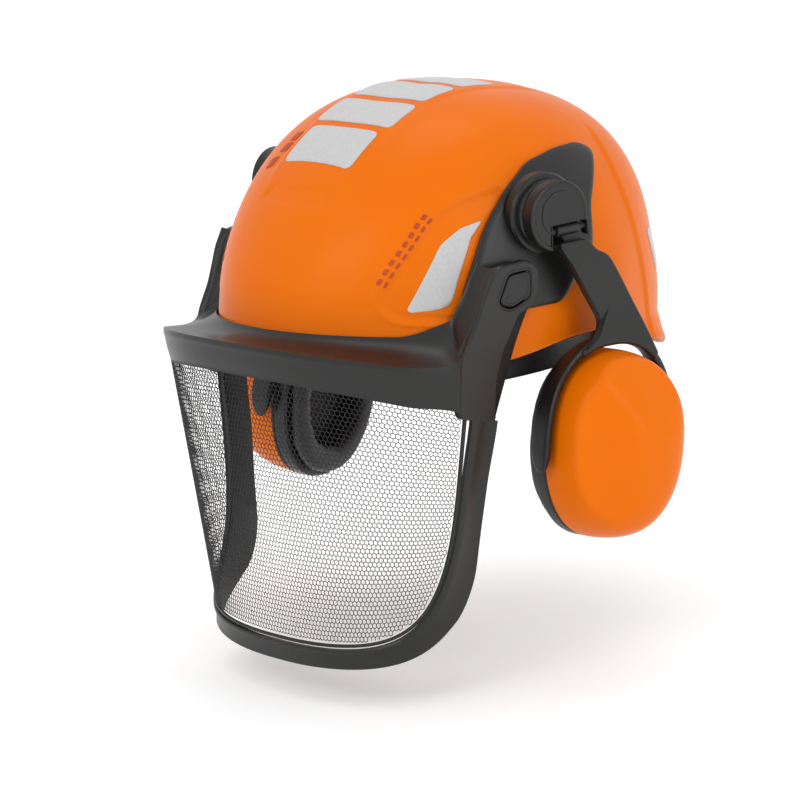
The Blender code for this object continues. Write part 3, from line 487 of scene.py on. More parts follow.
def make_shell():
    columns = 440
    around = np.linspace(0, 360, columns, endpoint=False)
    depth = skirt_depth(around)
    folded = np.minimum(around, 360 - around)
    flare = SKIRT_FLARE * ease((folded - FLARE_START) / FLARE_SPREAD)
    rows, moves = [], []
    for share in (1.0, 0.94, 0.8, 0.6, 0.4, 0.2):
        rows.append(dome(around, 0.0, flare * (0.35 + 0.65 * share), depth * share))
        moves.append(-0.5 if share == 1.0 else 0.0)
    for up in rise_steps(176)[:-1]:
        rows.append(dome(around, up, flare * 0.35 * ease(1 - up / 16)))
        moves.append(0.0)
    rows = np.array(rows)
    slope_u = np.roll(rows, -1, axis=1) - np.roll(rows, 1, axis=1)
    slope_v = np.gradient(rows, axis=0)
    normal = np.cross(slope_u, slope_v)
    normal /= np.maximum(np.linalg.norm(normal, axis=2, keepdims=True), 1e-9)
    flip = np.sign(np.sum(normal[10] * (rows[10] - rows[10].mean(axis=0)), axis=1).mean())
    normal *= flip
    amount = shell_detail(rows.reshape(-1, 3)).reshape(rows.shape[:2]) + np.array(moves)[:, None]
    edge_bead = np.array([0.5, 0.9, 0.4] + [0.0] * (len(rows) - 3))[:, None]
    amount = amount + edge_bead * 0.6
    outer = rows + normal * amount[..., None]
    inner = [dome(around, 0.0, flare * (0.35 + 0.65 * share) - WALL, depth * share - 0.4)
             for share in (1.0, 0.6, 0.2)]
    inner += [dome(around, up, flare * 0.35 * ease(1 - up / 16) - WALL) for up in rise_steps(20)[:-1]]
    stack = np.concatenate([outer[::-1], np.array(inner)])
    points, faces = stack.reshape(-1, 3), grid_faces(len(stack), columns, False, True)
    faces += [tuple(range(columns)), tuple(range(len(points) - columns, len(points)))]
    piece("shell_body", points, faces, "helmet", "orange", "orange_plastic", ("shell",), 32.0)
    flat = outer.reshape(-1, 3)
    return BVHTree.FromPolygons(flat.tolist(), grid_faces(len(outer), columns, False, True))


SURFACE = make_shell()


def onto_shell(origins, direction, heights, tree=None):
    """Points cast onto the shell along a direction and lifted along its surface normal."""
    tree = tree or SURFACE
    direction = Vector(direction)
    found = []
    for origin, height in zip(origins, heights):
        place, normal, _, _ = tree.ray_cast(Vector(origin), direction)
        if place is None:
            place, normal, _, _ = tree.find_nearest(Vector(origin) + direction * 120)
        if normal.dot(direction) > 0:
            normal = -normal
        found.append(np.array(place) + np.array(normal) * height)
    return np.array(found)


def lift_side(flat, height, tree=None):
    return onto_shell([(200.0, y, z) for y, z in flat], (-1, 0, 0), height, tree)


def lift_top(flat, height):
    return onto_shell([(x, y, 260.0) for x, y in flat], (0, 0, -1), height)


FILM_PROFILE = ((0.0, -0.3), (0.0, 0.35), (0.35, 0.6))
FILM_CROWN = tuple((share, 0.6) for share in (0.12, 0.3, 0.5, 0.7, 0.88))


def make_films():
    for count, ((front, back), half) in enumerate(zip(TOP_FILMS, TOP_FILM_HALF_WIDTHS), start=1):
        outline = even(rounded([(-half, front), (half, front), (half, back), (-half, back)], 4.5), 96)
        points, faces = plate(outline, FILM_PROFILE, lift_top, FILM_CROWN)
        piece(f"crown_film_{count}", points, faces, "helmet", "film", "reflective_film",
              (f"crown_reflector_{count}",))
    for name, corners, node in (("side_film", SIDE_FILM, "side_reflector"),
                                ("rear_film", REAR_FILM, "rear_reflector")):
        outline = even(rounded(corners, 3.5), 96)
        points, faces = plate(outline, FILM_PROFILE, lift_side, FILM_CROWN)
        both(name, points, faces, "helmet", "film", "reflective_film", node)


def make_slots():
    """The slits, in painted shade: eight pairs along the panel's border and three vents beside the crown ridge,
    as flat darker orange plates on the surface.
    """
    line = np.array([(-76.8, 79.2), (-83.2, 74.0), (-88.6, 68.0), (-95.0, 61.2), (-101.0, 54.6), (-106.0, 48.2),
                     (-110.0, 42.5)])
    length = travelled(line)
    parts = []
    for count in range(8):
        place = length[-1] * (count + 0.5) / 8
        centre = np.array([np.interp(place, length, line[:, k]) for k in (0, 1)])
        ahead = np.array([np.interp(place + 1, length, line[:, k]) for k in (0, 1)]) - centre
        ahead /= np.linalg.norm(ahead)
        across = np.array([-ahead[1], ahead[0]])
        for shift in (-1.6, 1.6):
            middle = centre + across * shift
            corners = [middle + ahead * a * 1.9 + across * b * 0.75
                       for a, b in ((-1, -1), (1, -1), (1, 1), (-1, 1))]
            parts.append(plate(even(rounded(corners, 0.7, 4), 20), ((0.0, -0.6), (0.0, 0.3)), lift_side))
    points, faces = joined(*parts)
    both("panel_slits", points, faces, "helmet", "slot", "orange_plastic")
    parts = []
    for x, y in VENTS:
        corners = [(x - 4.0, y - 2.9), (x + 3.4, y - 3.9), (x + 4.6, y + 1.9), (x - 2.8, y + 2.9)]
        parts.append(plate(even(rounded(corners, 1.2, 4), 28), ((0.0, -0.5), (0.0, 0.3)), lift_top))
    points, faces = joined(*parts)
    piece("ridge_vents", points, faces, "helmet", "slot", "orange_plastic")


# --- side adapters and hubs ------------------------------------------------------------------------
HUB_FRAME = Matrix.Translation(HUB) @ Matrix.Rotation(-math.radians(TOE_OUT), 4, "Z")
KNUCKLE = Matrix.Translation((KNUCKLE_X, KNUCKLE_Y, -KNUCKLE_DROP))
HANG_FRAME = HUB_FRAME @ KNUCKLE @ Matrix.Rotation(-math.radians(SPLAY), 4, "Y") @ KNUCKLE.inverted()
ARM_FRAME = (HANG_FRAME @ Matrix.Translation((0, ARM_OFFSET_Y, 0))
             @ Matrix.Rotation(math.radians(ARM_LEAN), 4, "X"))
CUP_FRAME = HANG_FRAME @ Matrix.Translation(CUP_CENTRE) @ Matrix.Rotation(-math.radians(CUP_LEAN), 4, "X")


def make_adapters():
    outline = even(rounded(ADAPTER_OUTLINE, 6), 150)
    profile = ((0.0, -0.2), (0.0, 1.7), (0.5, 2.4), (2.6, 3.15))
    crown = tuple((share, 3.15) for share in (0.06, 0.15, 0.3, 0.48, 0.68, 0.88))
    points, faces = plate(outline, profile, lift_plain_side, crown)
    both("adapter_plate", points, faces, "helmet", "black", "black_plastic", "side_adapter", 28.0)
    base = turned([(0.0, 23.8), (5.2, 23.8), (6.6, 22.6), (6.9, 21.4), (7.0, 20.4), (9.2, 20.2), (10.2, 19.2),
                   (10.4, 17.0), (10.4, 6.0)], 96, HUB_FRAME)
    both("hub_rings", *base, "helmet", "black", "black_plastic", "hub_base", 30.0)
    pin_end = ARM_OUTER_X + ARM_SPLAY * VISOR_PIVOT[1] - WINDOW_DEPTH - 0.8
    pin = rod(3.1, (92, *VISOR_PIVOT), (pin_end, *VISOR_PIVOT), 32)
    both("visor_pin", *pin, "helmet", "steel", "steel", "pivot_pin")


def lift_plain_side(flat, height):
    return lift_side(flat, height, PLAIN)


def plain_tree():
    around = np.linspace(0, 360, 240, endpoint=False)
    rows = [dome(around, 0.0, 0.0, drop) for drop in (25.0, 12.0)]
    rows = np.array(rows + [dome(around, up) for up in rise_steps(100)[:-1]])
    return BVHTree.FromPolygons(rows.reshape(-1, 3).tolist(), grid_faces(len(rows), 240, False, True))


PLAIN = plain_tree()


def smooth_arc(points, count):
    """A smooth open curve through the points."""
    points = np.asarray(points, float)
    t = travelled(points)
    fine = np.linspace(0, t[-1], count)
    curve = np.stack([np.interp(fine, t, points[:, k]) for k in range(points.shape[1])], axis=1)
    for _ in range(max(2, count // 12)):
        curve[1:-1] = (curve[:-2] + 2 * curve[1:-1] + curve[2:]) / 4
    return curve


def make_turntable():
    low, high = TURNTABLE_X
    radius = TURNTABLE_RADIUS
    notch = (-6.5, 20.0, -4.8)
    profile = [(low, radius - 1.2), (low + 0.8, radius - 0.4), (high - 2.4, radius - 0.4),
               (high - 0.9, radius), (high - 0.3, radius - 0.5), (high, radius - 1.4), (high, radius - 2.2),
               (high - 0.5, radius - 2.9), (high - 0.5, radius - 5.0)]
    angle = np.linspace(0, 2 * math.pi, 140, endpoint=False)
    rings = []
    for x, size in profile:
        ring = np.stack([np.full(140, x), size * np.sin(angle), size * np.cos(angle)], axis=1)
        floor = np.where((ring[:, 1] > notch[0]) & (ring[:, 1] < notch[1]), notch[2], -99.0)
        ring[:, 2] = np.maximum(ring[:, 2], floor)
        rings.append(ring)
    cap = loft([placed(ring, HUB_FRAME) for ring in rings])
    both("muff_cap", *cap, "turntable", "black", "black_plastic", "muff_turntable", 28.0)
    comma = smooth_arc([(5.5, 14.0), (-3.0, 13.6), (-10.5, 8.0), (-12.0, -1.0), (-9.0, -7.5), (-4.5, -9.5)], 48)
    comma = ribbon(comma, high - 0.6, high + 0.05, 1.5, HUB_FRAME)
    both("cap_comma", *comma, "turntable", "black", "black_plastic")
    for place, ends in (("front", (-8.2, -6.6)), ("rear", (20.1, 22.4))):
        ear = plate(even(rounded([(ends[0], -4), (ends[1], -4), (ends[1], -14), (ends[0], -14)], 1.4, 4), 40),
                    ((0.3, low + 1.5), (0.0, low + 2.0), (0.0, high - 2.4), (0.4, high - 1.8)), hub_lift)
        both(f"knuckle_ear_{place}", *ear, "turntable", "black", "black_plastic")
    pin = rod(KNUCKLE_RADIUS, placed(np.array([KNUCKLE_X, KNUCKLE_Y - 15, -KNUCKLE_DROP]), HUB_FRAME),
              placed(np.array([KNUCKLE_X, KNUCKLE_Y + 15, -KNUCKLE_DROP]), HUB_FRAME))
    both("knuckle_rod", *pin, "turntable", "grained", "steel", "knuckle_pin")


def ribbon(curve, low, high, width, matrix):
    """A low rib along a flat (y, z) curve, from x low to x high, tapering to its ends."""
    ahead = np.gradient(curve, axis=0)
    across = np.stack([-ahead[:, 1], ahead[:, 0]], axis=1)
    across /= np.linalg.norm(across, axis=1, keepdims=True)
    taper = np.sin(np.linspace(0.12, math.pi - 0.12, len(curve)))[:, None] ** 0.5 * width / 2
    rings = []
    for k in range(len(curve)):
        near, far = curve[k] - across[k] * taper[k], curve[k] + across[k] * taper[k]
        middle = (near + far) / 2
        rings.append([(low, *near), (high - 0.2, *near), (high, *middle), (high - 0.2, *far), (low, *far)])
    points, faces = loft(np.array(rings))
    return placed(points, matrix), faces


def lift_in(matrix):
    """The lift for a plate whose flat is the (y, z) plane of a frame."""
    def lift(flat, height):
        return placed(np.column_stack([height, flat]), matrix)
    return lift


hub_lift, hang_lift, arm_lift = lift_in(HUB_FRAME), lift_in(HANG_FRAME), lift_in(ARM_FRAME)


def make_hanger():
    low, high = HANGER_X
    half = 6.0
    outline = even(rounded([(-half, -12), (half, -12), (half, -61), (-half, -61)], 1.6), 120)
    strap = plate(outline, ((0.4, low), (0.0, low + 0.4), (0.0, high - 0.4), (0.4, high)), arm_lift)
    barrel = rod(3.7, placed(np.array([KNUCKLE_X, KNUCKLE_Y - 7.8, -KNUCKLE_DROP]), HANG_FRAME),
                 placed(np.array([KNUCKLE_X, KNUCKLE_Y + 7.8, -KNUCKLE_DROP]), HANG_FRAME), 28)
    neck = plate(even(rounded([(-half, -9), (half, -9), (half, -18), (-half, -18)], 1.5), 60),
                 ((0.4, low + 0.1), (0.0, low + 0.5), (0.0, high - 0.5), (0.4, high - 0.1)), arm_lift)
    both("hanger_strap", *joined(strap, barrel, neck), "hanger", "harness", "harness_plastic", "muff_hanger")


def make_yoke():
    low, high = ARM_X
    outline = even(rounded(YOKE_OUTLINE, 5), 170)
    profile = ((0.9, low), (0.0, low + 0.9), (0.0, high - 1.3), (0.4, high - 0.5), (1.3, high))
    body = plate(outline, profile, hang_lift, tuple((share, high) for share in (0.08, 0.3, 0.6, 0.9)))
    both("muff_arm", *body, "yoke", "black", "black_plastic", "muff_yoke", 28.0)
    strip = smooth_arc([(-3.2, -17.5), (4.6, -28.3), (12.2, -44.2), (16.2, -53.0)], 60)
    strip = ribbon(strip, high - 0.7, high + 0.35, 2.6, HANG_FRAME)
    both("arm_side_strip", *strip, "yoke", "black", "black_plastic")
    rails = []
    for sign in (1, -1):
        near, far = sorted((sign * 6.5, sign * 8.8))
        outline = even(rounded([(near, -29.5), (far, -29.5), (far, -69), (near, -69)], 0.8, 4), 60)
        rails.append(plate(outline, ((0.3, HANGER_X[0]), (0.0, HANGER_X[0] + 0.3), (0.0, low + 1.0)), arm_lift))
    both("arm_rails", *joined(*rails), "yoke", "black", "black_plastic")
    make_fork()


def make_fork():
    steps = 150
    angle = np.radians(np.linspace(-FORK_REACH, FORK_REACH, steps))
    around = np.degrees(angle)
    top_share = ease(1 - np.abs(around) / 62)
    middle = FORK_X + (sum(ARM_X) / 2 - CUP_CENTRE[0] - FORK_X) * top_share
    width = (FORK_WIDTH + (ARM_X[1] - ARM_X[0] - FORK_WIDTH) * top_share) / 2 - 0.1
    inner, rise = CUP_HALF_WIDTH + 3.7, CUP_HALF_HEIGHT + 3.7
    wall = FORK_THICKNESS - 0.2 + 1.6 * top_share
    end_taper = np.sqrt(np.clip((FORK_REACH - np.abs(around)) / 9, 0, 1))
    out = np.stack([power(np.sin(angle), 2.25), power(np.cos(angle), 2.25)], axis=1)
    section = np.linspace(0, 2 * math.pi, 20, endpoint=False)
    rings = []
    for k in range(steps):
        shape = 0.15 + 0.85 * end_taper[k]
        u = power(np.cos(section), 5.0) * width[k] * shape
        v = (power(np.sin(section), 5.0) * 0.5 * shape + 0.5) * wall[k]
        ring = np.stack([middle[k] + u, out[k, 0] * (inner + v), out[k, 1] * (rise + v)], axis=1)
        rings.append(placed(ring, CUP_FRAME))
    both("muff_fork", *loft(rings), "yoke", "black", "black_plastic", None, 40.0)
    boss_rows = ((2.0, 5.4), (4.6, 5.4), (5.5, 4.5), (5.1, 3.4))
    profile = [(CUP_HALF_WIDTH + reach, radius) for reach, radius in boss_rows]
    tilt_axis = CUP_FRAME @ Matrix.Translation((BOSS_X, 0, -TILT_DROP))
    for name, sign in (("front", -1), ("rear", 1)):
        boss = turned(profile, 40, tilt_axis @ Matrix.Rotation(sign * math.pi / 2, 4, "Z"))
        both(f"fork_boss_{name}", *boss, "yoke", "black", "black_plastic")


# --- cups ------------------------------------------------------------------------------------------
def cup_ring(scale, x, steps=120, grow=0.0):
    angle = np.linspace(0, 2 * math.pi, steps, endpoint=False)
    egg = 1 + 0.05 * np.cos(angle)
    y = (CUP_HALF_WIDTH * scale + grow) * egg * power(np.sin(angle), 2.25)
    z = (CUP_HALF_HEIGHT * scale + grow) * power(np.cos(angle), 2.25)
    return np.stack([np.full(steps, float(x)) if np.isscalar(x) else x, y, z], axis=1)


DOME_CURVE = np.array([(1.0, 0.0), (1.0, 0.06), (0.998, 0.14), (0.99, 0.27), (0.972, 0.40), (0.948, 0.52),
                       (0.915, 0.63), (0.865, 0.735), (0.80, 0.815), (0.71, 0.885), (0.60, 0.935), (0.46, 0.97),
                       (0.30, 0.99), (0.15, 0.998), (0.04, 1.0)])


def make_cups():
    start = BASE_X[1] + 0.35
    fine = np.linspace(0, len(DOME_CURVE) - 1, 64)
    scales = np.interp(fine, np.arange(len(DOME_CURVE)), DOME_CURVE[:, 0])
    depths = np.interp(fine, np.arange(len(DOME_CURVE)), DOME_CURVE[:, 1]) * DOME_DEPTH
    for _ in range(3):
        scales[1:-1] = (scales[:-2] + scales[1:-1] + scales[2:]) / 3
        depths[1:-1] = (depths[:-2] + depths[1:-1] + depths[2:]) / 3
    rings = []
    for scale, depth in zip(scales, depths):
        ring = cup_ring(scale, start + depth)
        front = 43.0 + (ring[:, 1] + 8.0) * 0.60 - np.abs(ring[:, 2]) * 0.03
        top = 43.4 - (ring[:, 2] - 17.0) * 0.52 - np.abs(ring[:, 1]) * 0.05
        limit = soft_least(soft_least(ring[:, 0] - start, front), top)
        ring[:, 0] = start + np.maximum(np.minimum(limit, ring[:, 0] - start), np.minimum(depth, 3.0))
        rings.append(ring)
    outer = [placed(ring, CUP_FRAME) for ring in rings]
    inner = [placed(cup_ring(scale, start + depth), CUP_FRAME) for scale, depth in
             ((0.93, 12.0), (0.945, 6.0), (0.945, 0.0))]
    both("cup_dome", *loft([*inner, *outer][::-1]), "cup", "orange", "orange_plastic", "cup_shell", 50.0)
    low, high = BASE_X
    base = [cup_ring(scale, x) for scale, x in ((0.66, low), (0.97, low), (0.995, low + 1.2), (1.0, low + 2.5),
                                                (1.0, high - 2.2), (0.985, high - 1.8), (0.985, high - 1.2),
                                                (1.0, high - 0.8), (1.0, high), (0.66, high))]
    base = loft([placed(ring, CUP_FRAME) for ring in base], True)
    both("cup_ring", *base, "cup", "black", "black_plastic", "cup_base", 30.0)
    rows = ((0.60, 8.2), (0.72, 8.4), (0.84, 10.0), (0.86, 12.0), (0.85, 17.0))
    foam = [cup_ring(scale, x) for scale, x in rows]
    for scale, x in ((0.6, 6.6), (0.4, 6.2), (0.2, 6.9), (0.05, 6.4)):
        foam.insert(0, cup_ring(scale, x + 1.6))
    foam = loft([placed(ring, CUP_FRAME) for ring in foam])
    both("cup_foam", *foam, "cup", "foam", "foam", "foam_insert", 60.0)


def soft_least(first, second, blur=4.0):
    """The smaller of two values, blended where they are within blur of each other."""
    spread = np.maximum(blur - np.abs(first - second), 0) / blur
    return np.minimum(first, second) - spread * spread * blur / 4


# --- soft goods ------------------------------------------------------------------------------------
def inflated(name, points, faces, body, finish, node, voxel=4.5, cap=4.0, pressure=4.0):
    """A padded piece: remeshed, blown up a little as cloth, and held within a cap of its start."""
    mesh = raw_mesh(name, points, faces)
    bm = bmesh.new()
    bm.from_mesh(mesh)
    bmesh.ops.recalc_face_normals(bm, faces=bm.faces)
    bm.to_mesh(mesh)
    bm.free()
    made = linked(name, mesh)
    apply_modifier(made, "REMESH", mode="VOXEL", voxel_size=voxel * MM)
    start = np.empty(len(made.data.vertices) * 3)
    made.data.vertices.foreach_get("co", start)
    cloth = made.modifiers.new("swell", "CLOTH")
    cloth.settings.use_pressure = True
    cloth.settings.uniform_pressure_force = pressure
    cloth.settings.effector_weights.gravity = 0.0
    cloth.settings.quality = 4
    cloth.settings.tension_stiffness = 25.0
    cloth.settings.compression_stiffness = 25.0
    cloth.point_cache.frame_start = 1
    cloth.point_cache.frame_end = 20
    for tick in range(1, 21):
        bpy.context.scene.frame_set(tick)
    seen = made.evaluated_get(bpy.context.evaluated_depsgraph_get())
    end = np.empty(len(start))
    seen.data.vertices.foreach_get("co", end)
    made.modifiers.clear()
    bpy.context.scene.frame_set(1)
    move = (end - start).reshape(-1, 3)
    length = np.linalg.norm(move, axis=1, keepdims=True)
    move *= np.minimum(1.0, cap * MM / np.maximum(length, 1e-9))
    made.data.vertices.foreach_set("co", start + move.ravel())
    made.data.update()
    apply_modifier(made, "SUBSURF", levels=1, render_levels=1)
    made.data.materials.clear()
    made.data.materials.append(FINISH[finish])
    made.data.shade_smooth()
    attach(made, body)
    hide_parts(node)
    return made


def apply_modifier(target, kind, **settings):
    added = target.modifiers.new("once", kind)
    for key, value in settings.items():
        setattr(added, key, value)
    bpy.context.view_layer.update()
    seen = target.evaluated_get(bpy.context.evaluated_depsgraph_get())
    finished = bpy.data.meshes.new_from_object(seen)
    target.modifiers.clear()
    target.data = finished


def make_cushions():
    face = BASE_X[0] - 0.35
    deep = face - CUSHION_DEPTH
    section = ((0.93, face), (0.68, face), (0.64, face - 3), (0.63, deep + 4), (0.67, deep + 1.4),
               (0.74, deep + 0.9), (0.84, deep + 1.2), (0.91, deep + 3.2), (0.94, deep + 6.5), (0.945, face - 2))
    rings = [placed(cup_ring(scale, x, 72), CUP_FRAME) for scale, x in section]
    points, faces = loft(rings, True)
    for side, sign in SIDES:
        inflated(f"ear_pad_{side}", points * (sign, 1, 1), faces, f"cup_{side}", "skin",
                 f"ear_cushion_{side}", 3.6, 1.6)


def band_plan(around, radius):
    turn = np.radians(around)
    length = np.where(np.cos(turn) > 0, BAND_FRONT + radius - BAND_RADIUS, radius)
    return np.stack([radius * np.sin(turn), BAND_CENTRE_Y - length * np.cos(turn)], axis=-1)


def swept_band(start, end, section, steps=90):
    """A band round the head: section lists (radius, z) going once round it."""
    angles = np.linspace(start, end, steps)
    rings = []
    for around in angles:
        rings.append([(*band_plan(around, radius), z) for radius, z in section])
    return loft(np.array(rings))


def make_harness():
    r, w = BAND_RADIUS, BAND_WALL
    section = ((r, BAND_LOW + 0.5), (r + 0.5, BAND_LOW), (r + w, BAND_LOW + 0.6), (r + w, BAND_LOW + 3.0),
               (r + w - 0.5, BAND_LOW + 3.8), (r + w - 0.5, BAND_HIGH - 3.8), (r + w, BAND_HIGH - 3.0),
               (r + w, BAND_HIGH - 0.6), (r + 0.5, BAND_HIGH), (r, BAND_HIGH - 0.5))
    band = swept_band(-BAND_END, BAND_END, section, 160)
    piece("head_band", *band, "helmet", "harness", "harness_plastic", ("headband",))
    low, high = BAND_LOW + 2.0, BAND_HIGH
    pad = ((r - 1.0, low), (r - 1.0, high), (r - 3.4, high), (r - 4.6, high - 4), (r - 4.6, low + 4),
           (r - 3.4, low))
    points, faces = swept_band(-71, 71, pad, 60)
    inflated("brow_pad", points, faces, "helmet", "cloth", "brow_sweatband", 4.0, 1.2)
    low, high = BAND_LOW - 3.0, BAND_HIGH + 1.0
    pad = ((r - 0.4, low), (r - 0.4, high), (r - 2.6, high), (r - 4.0, high - 4), (r - 4.0, low + 4),
           (r - 2.6, low))
    points, faces = swept_band(147, 213, pad, 40)
    inflated("nape_cushion", points, faces, "helmet", "cloth", "nape_pad", 4.0, 1.2)
    make_straps()
    make_adjuster()


STRAP_FOOT_Z, STRAP_RISE, STRAP_HALF_WIDTH, CLIP_INSET = 15.0, 88.0, 10.0, 8.5
STRAP_SECTION = ((-1, -.6), (-.97, -.35), (-.97, .35), (-1, .6), (-.9, .62), (0, .5), (.9, .62), (1, .6),
                 (.97, .35), (.97, -.35), (1, -.6), (.9, -.62), (0, -.5), (-.9, -.62))


def strap_foot(around):
    """Where a crown strap meets its clip, in plan."""
    turn, rise = math.radians(around), math.radians(8)
    side_share = math.sin(turn) ** 2
    end_exponent = FRONT_EXPONENT if math.cos(turn) > 0 else BACK_EXPONENT
    exponent = SIDE_EXPONENT * side_share + end_exponent * (1 - side_share)
    reach = math.cos(rise) ** (2 / exponent)
    length = SHELL_FRONT if math.cos(turn) > 0 else SHELL_BACK
    return np.array([(SHELL_HALF_WIDTH - CLIP_INSET) * reach * power(math.sin(turn), PLAN_EXPONENT),
                     -(length - CLIP_INSET) * reach * power(math.cos(turn), PLAN_EXPONENT)])


def make_straps():
    for name, around, lift in (("crown_strap_front_left", 38, 0), ("crown_strap_sides", 90, -3.4),
                               ("crown_strap_front_right", -38, 3.0)):
        start, end = strap_foot(around), strap_foot(around + 180 if around < 0 else around - 180)
        across = (end - start) / np.linalg.norm(end - start)
        width = np.array([-across[1], across[0], 0.0])
        middle, half = (start + end) / 2, np.linalg.norm(end - start) / 2
        rings = []
        for turn in np.linspace(0, math.pi, 90):
            out = np.array([-math.cos(turn) * across[0], -math.cos(turn) * across[1], math.sin(turn)])
            centre = np.array([*middle, STRAP_FOOT_Z]) + out * np.array([half, half, STRAP_RISE + lift])
            ring = []
            for side, thick in STRAP_SECTION:
                ring.append(centre + width * STRAP_HALF_WIDTH * side + out * thick)
            rings.append(ring)
        piece(name + "_webbing", *loft(np.array(rings)), "helmet", "strap", "webbing", (name,))
    for place, around in (("front", 38), ("side", 90), ("rear", 142)):
        foot = strap_foot(around)
        facing = Matrix.Rotation(math.atan2(foot[1], foot[0]), 4, "Z")
        matrix = Matrix.Translation((foot[0], foot[1], 0)) @ facing
        corners = [(-10.9, -6.9), (10.9, -6.9), (10.9, 6), (6, 14.5), (-6, 14.5), (-10.9, 6)]
        outline = even(rounded(corners, 2.5), 90)
        body = plate(outline, ((0.8, -3.1), (0.0, -2.3), (0.0, 2.3), (0.8, 3.1)), lift_in(matrix))
        both(f"clip_{place}", *body, "helmet", "harness", "harness_plastic", f"harness_clip_{place}")


def make_adjuster():
    inner, outer = TRACK_RADIUS, TRACK_RADIUS + TRACK_WALL
    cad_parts["ratchet_housing"].data.materials.clear()
    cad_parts["ratchet_housing"].data.materials.append(FINISH["harness"])
    back = BAND_CENTRE_Y + outer
    angle = np.linspace(0, 2 * math.pi, 144, endpoint=False)
    grip = 0.55 + 0.45 * np.cos(angle * 18)
    rings = []
    for y, radius, depth in ((11.8, 14.5, 0), (12.0, 16.0, 0), (13.0, 16.8, .6), (21.5, 16.8, 1.0),
                             (23.2, 15.9, .8), (23.9, 14.2, 0), (23.9, 9.0, 0), (23.2, 8.0, 0),
                             (23.2, 4.0, 0)):
        size = radius - depth * (1 - grip)
        across, up = size * np.cos(angle), TRACK_MIDDLE_Z + size * np.sin(angle)
        rings.append(np.stack([across, np.full(144, back + y), up], axis=1))
    piece("nape_knob", *loft(rings), "knob", "harness", "harness_plastic", ("ratchet_knob",), 30.0)
    near = PINION_RADIUS + 0.35
    for side, sign, low in (("left", 1, TRACK_MIDDLE_Z - near - RACK_HEIGHT),
                            ("right", -1, TRACK_MIDDLE_Z + near)):
        high = low + RACK_HEIGHT
        section = ((inner, low + .3), (inner + .3, low), (outer - .3, low), (outer, low + .3),
                   (outer, high - .3), (outer - .3, high), (inner + .3, high), (inner, high - .3))
        piece(f"rack_{side}_strip", *swept_band(sign * 122, sign * 177, section, 80), f"rack_{side}", "harness",
              "harness_plastic", (f"adjuster_rack_{side}",))


# --- visor -----------------------------------------------------------------------------------------
def edge_curve(curve, around, extra=0.0, exponent=VISOR_EXPONENT):
    turn = np.radians(around)
    x = curve["half"] * power(np.sin(turn), exponent)
    ahead = power(np.maximum(np.cos(turn), 0), exponent)
    y = curve["centre"] - (curve["centre"] - curve["front"]) * ahead + extra
    return np.stack([x, y, curve["z"] + curve["slope"] * (y + 100)], axis=-1)


def visor_point(side, down, offset=0.0):
    """Points of the face mesh's surface: side is 1 at the wearer's left edge, down is 1 at the foot."""
    side, down = np.asarray(side, float), np.asarray(down, float)
    turn = 90 * np.clip(side, -1, 1)
    extra = np.maximum(0, np.abs(side) - 1) * 100
    top, foot = edge_curve(VISOR_TOP, turn, extra), edge_curve(VISOR_FOOT, turn, extra)
    out = np.stack([np.sin(np.radians(turn)), -np.cos(np.radians(turn)), 0 * turn], axis=-1)
    return top + (foot - top) * down[..., None] + out * np.asarray(offset)[..., None]


U_EXPONENT, U_FINE_STEPS = 5.0, 900


def u_path(angle, half, top, foot):
    """Side and down of a U across the face, from the wearer's left top round to the right top."""
    return half * power(np.cos(angle), U_EXPONENT), top + (foot - top) * power(np.sin(angle), U_EXPONENT)


def even_angles(half, top, foot, steps):
    """Angles that spread a U's points evenly over the face."""
    length = travelled(visor_point(*u_path(np.linspace(0, math.pi, U_FINE_STEPS), half, top, foot)))
    return np.interp(np.linspace(0, 1, steps) * length[-1], length, np.linspace(0, 1, U_FINE_STEPS)) * math.pi


def make_frame():
    angle = even_angles(1.03, -0.018, 1.0, 260)
    inner, outer = u_path(angle, 0.963, -0.018, 0.963), u_path(angle, 1.105, -0.018, 1.034)
    corner = np.abs(np.sin(2 * angle)) ** 1.3 * step(0.02, 0.45, np.sin(angle))
    outer = (outer[0] * (1 + 0.055 * corner), outer[1] + 0.026 * corner)
    section = ((0.0, 1.2), (0.06, 1.9), (0.16, 2.1), (0.24, 1.5), (0.86, 1.7), (0.95, 2.1), (1.0, 1.6),
               (1.0, -1.6), (0.95, -2.1), (0.10, -2.1), (0.0, -1.4))
    rings = []
    for share, offset in section:
        side = inner[0] + (outer[0] - inner[0]) * share
        down = inner[1] + (outer[1] - inner[1]) * share
        ring = visor_point(side, down, offset)
        ring[:, 0] += np.sign(ring[:, 0]) * 1.6 * ease(1 - down / 0.3)
        rings.append(ring)
    rings = np.array(rings).transpose(1, 0, 2)
    piece("visor_rim", *loft(rings), "visor", "black", "black_plastic", ("visor_frame",), 30.0)
    near, far = u_path(angle, 0.939, 0.008, 0.943), u_path(angle, 0.954, 0.008, 0.956)
    rings = []
    for k in np.linspace(0, 2 * math.pi, 10, endpoint=False):
        share, offset = 0.5 + 0.5 * math.cos(k), 1.15 * math.sin(k)
        side, down = (a + (b - a) * share for a, b in zip(near, far))
        rings.append(visor_point(side, down, offset))
    rings = np.array(rings).transpose(1, 0, 2)
    piece("rim_bead", *loft(rings), "visor", "black", "edge_bead", ("mesh_bead",), 60.0)


MESH_PITCH, WIRE_RADIUS = 2.65, 0.25
MESH_START, MESH_FOOT, MESH_HALF, MESH_HEIGHT = -0.03, 0.940, 0.936, 131.0


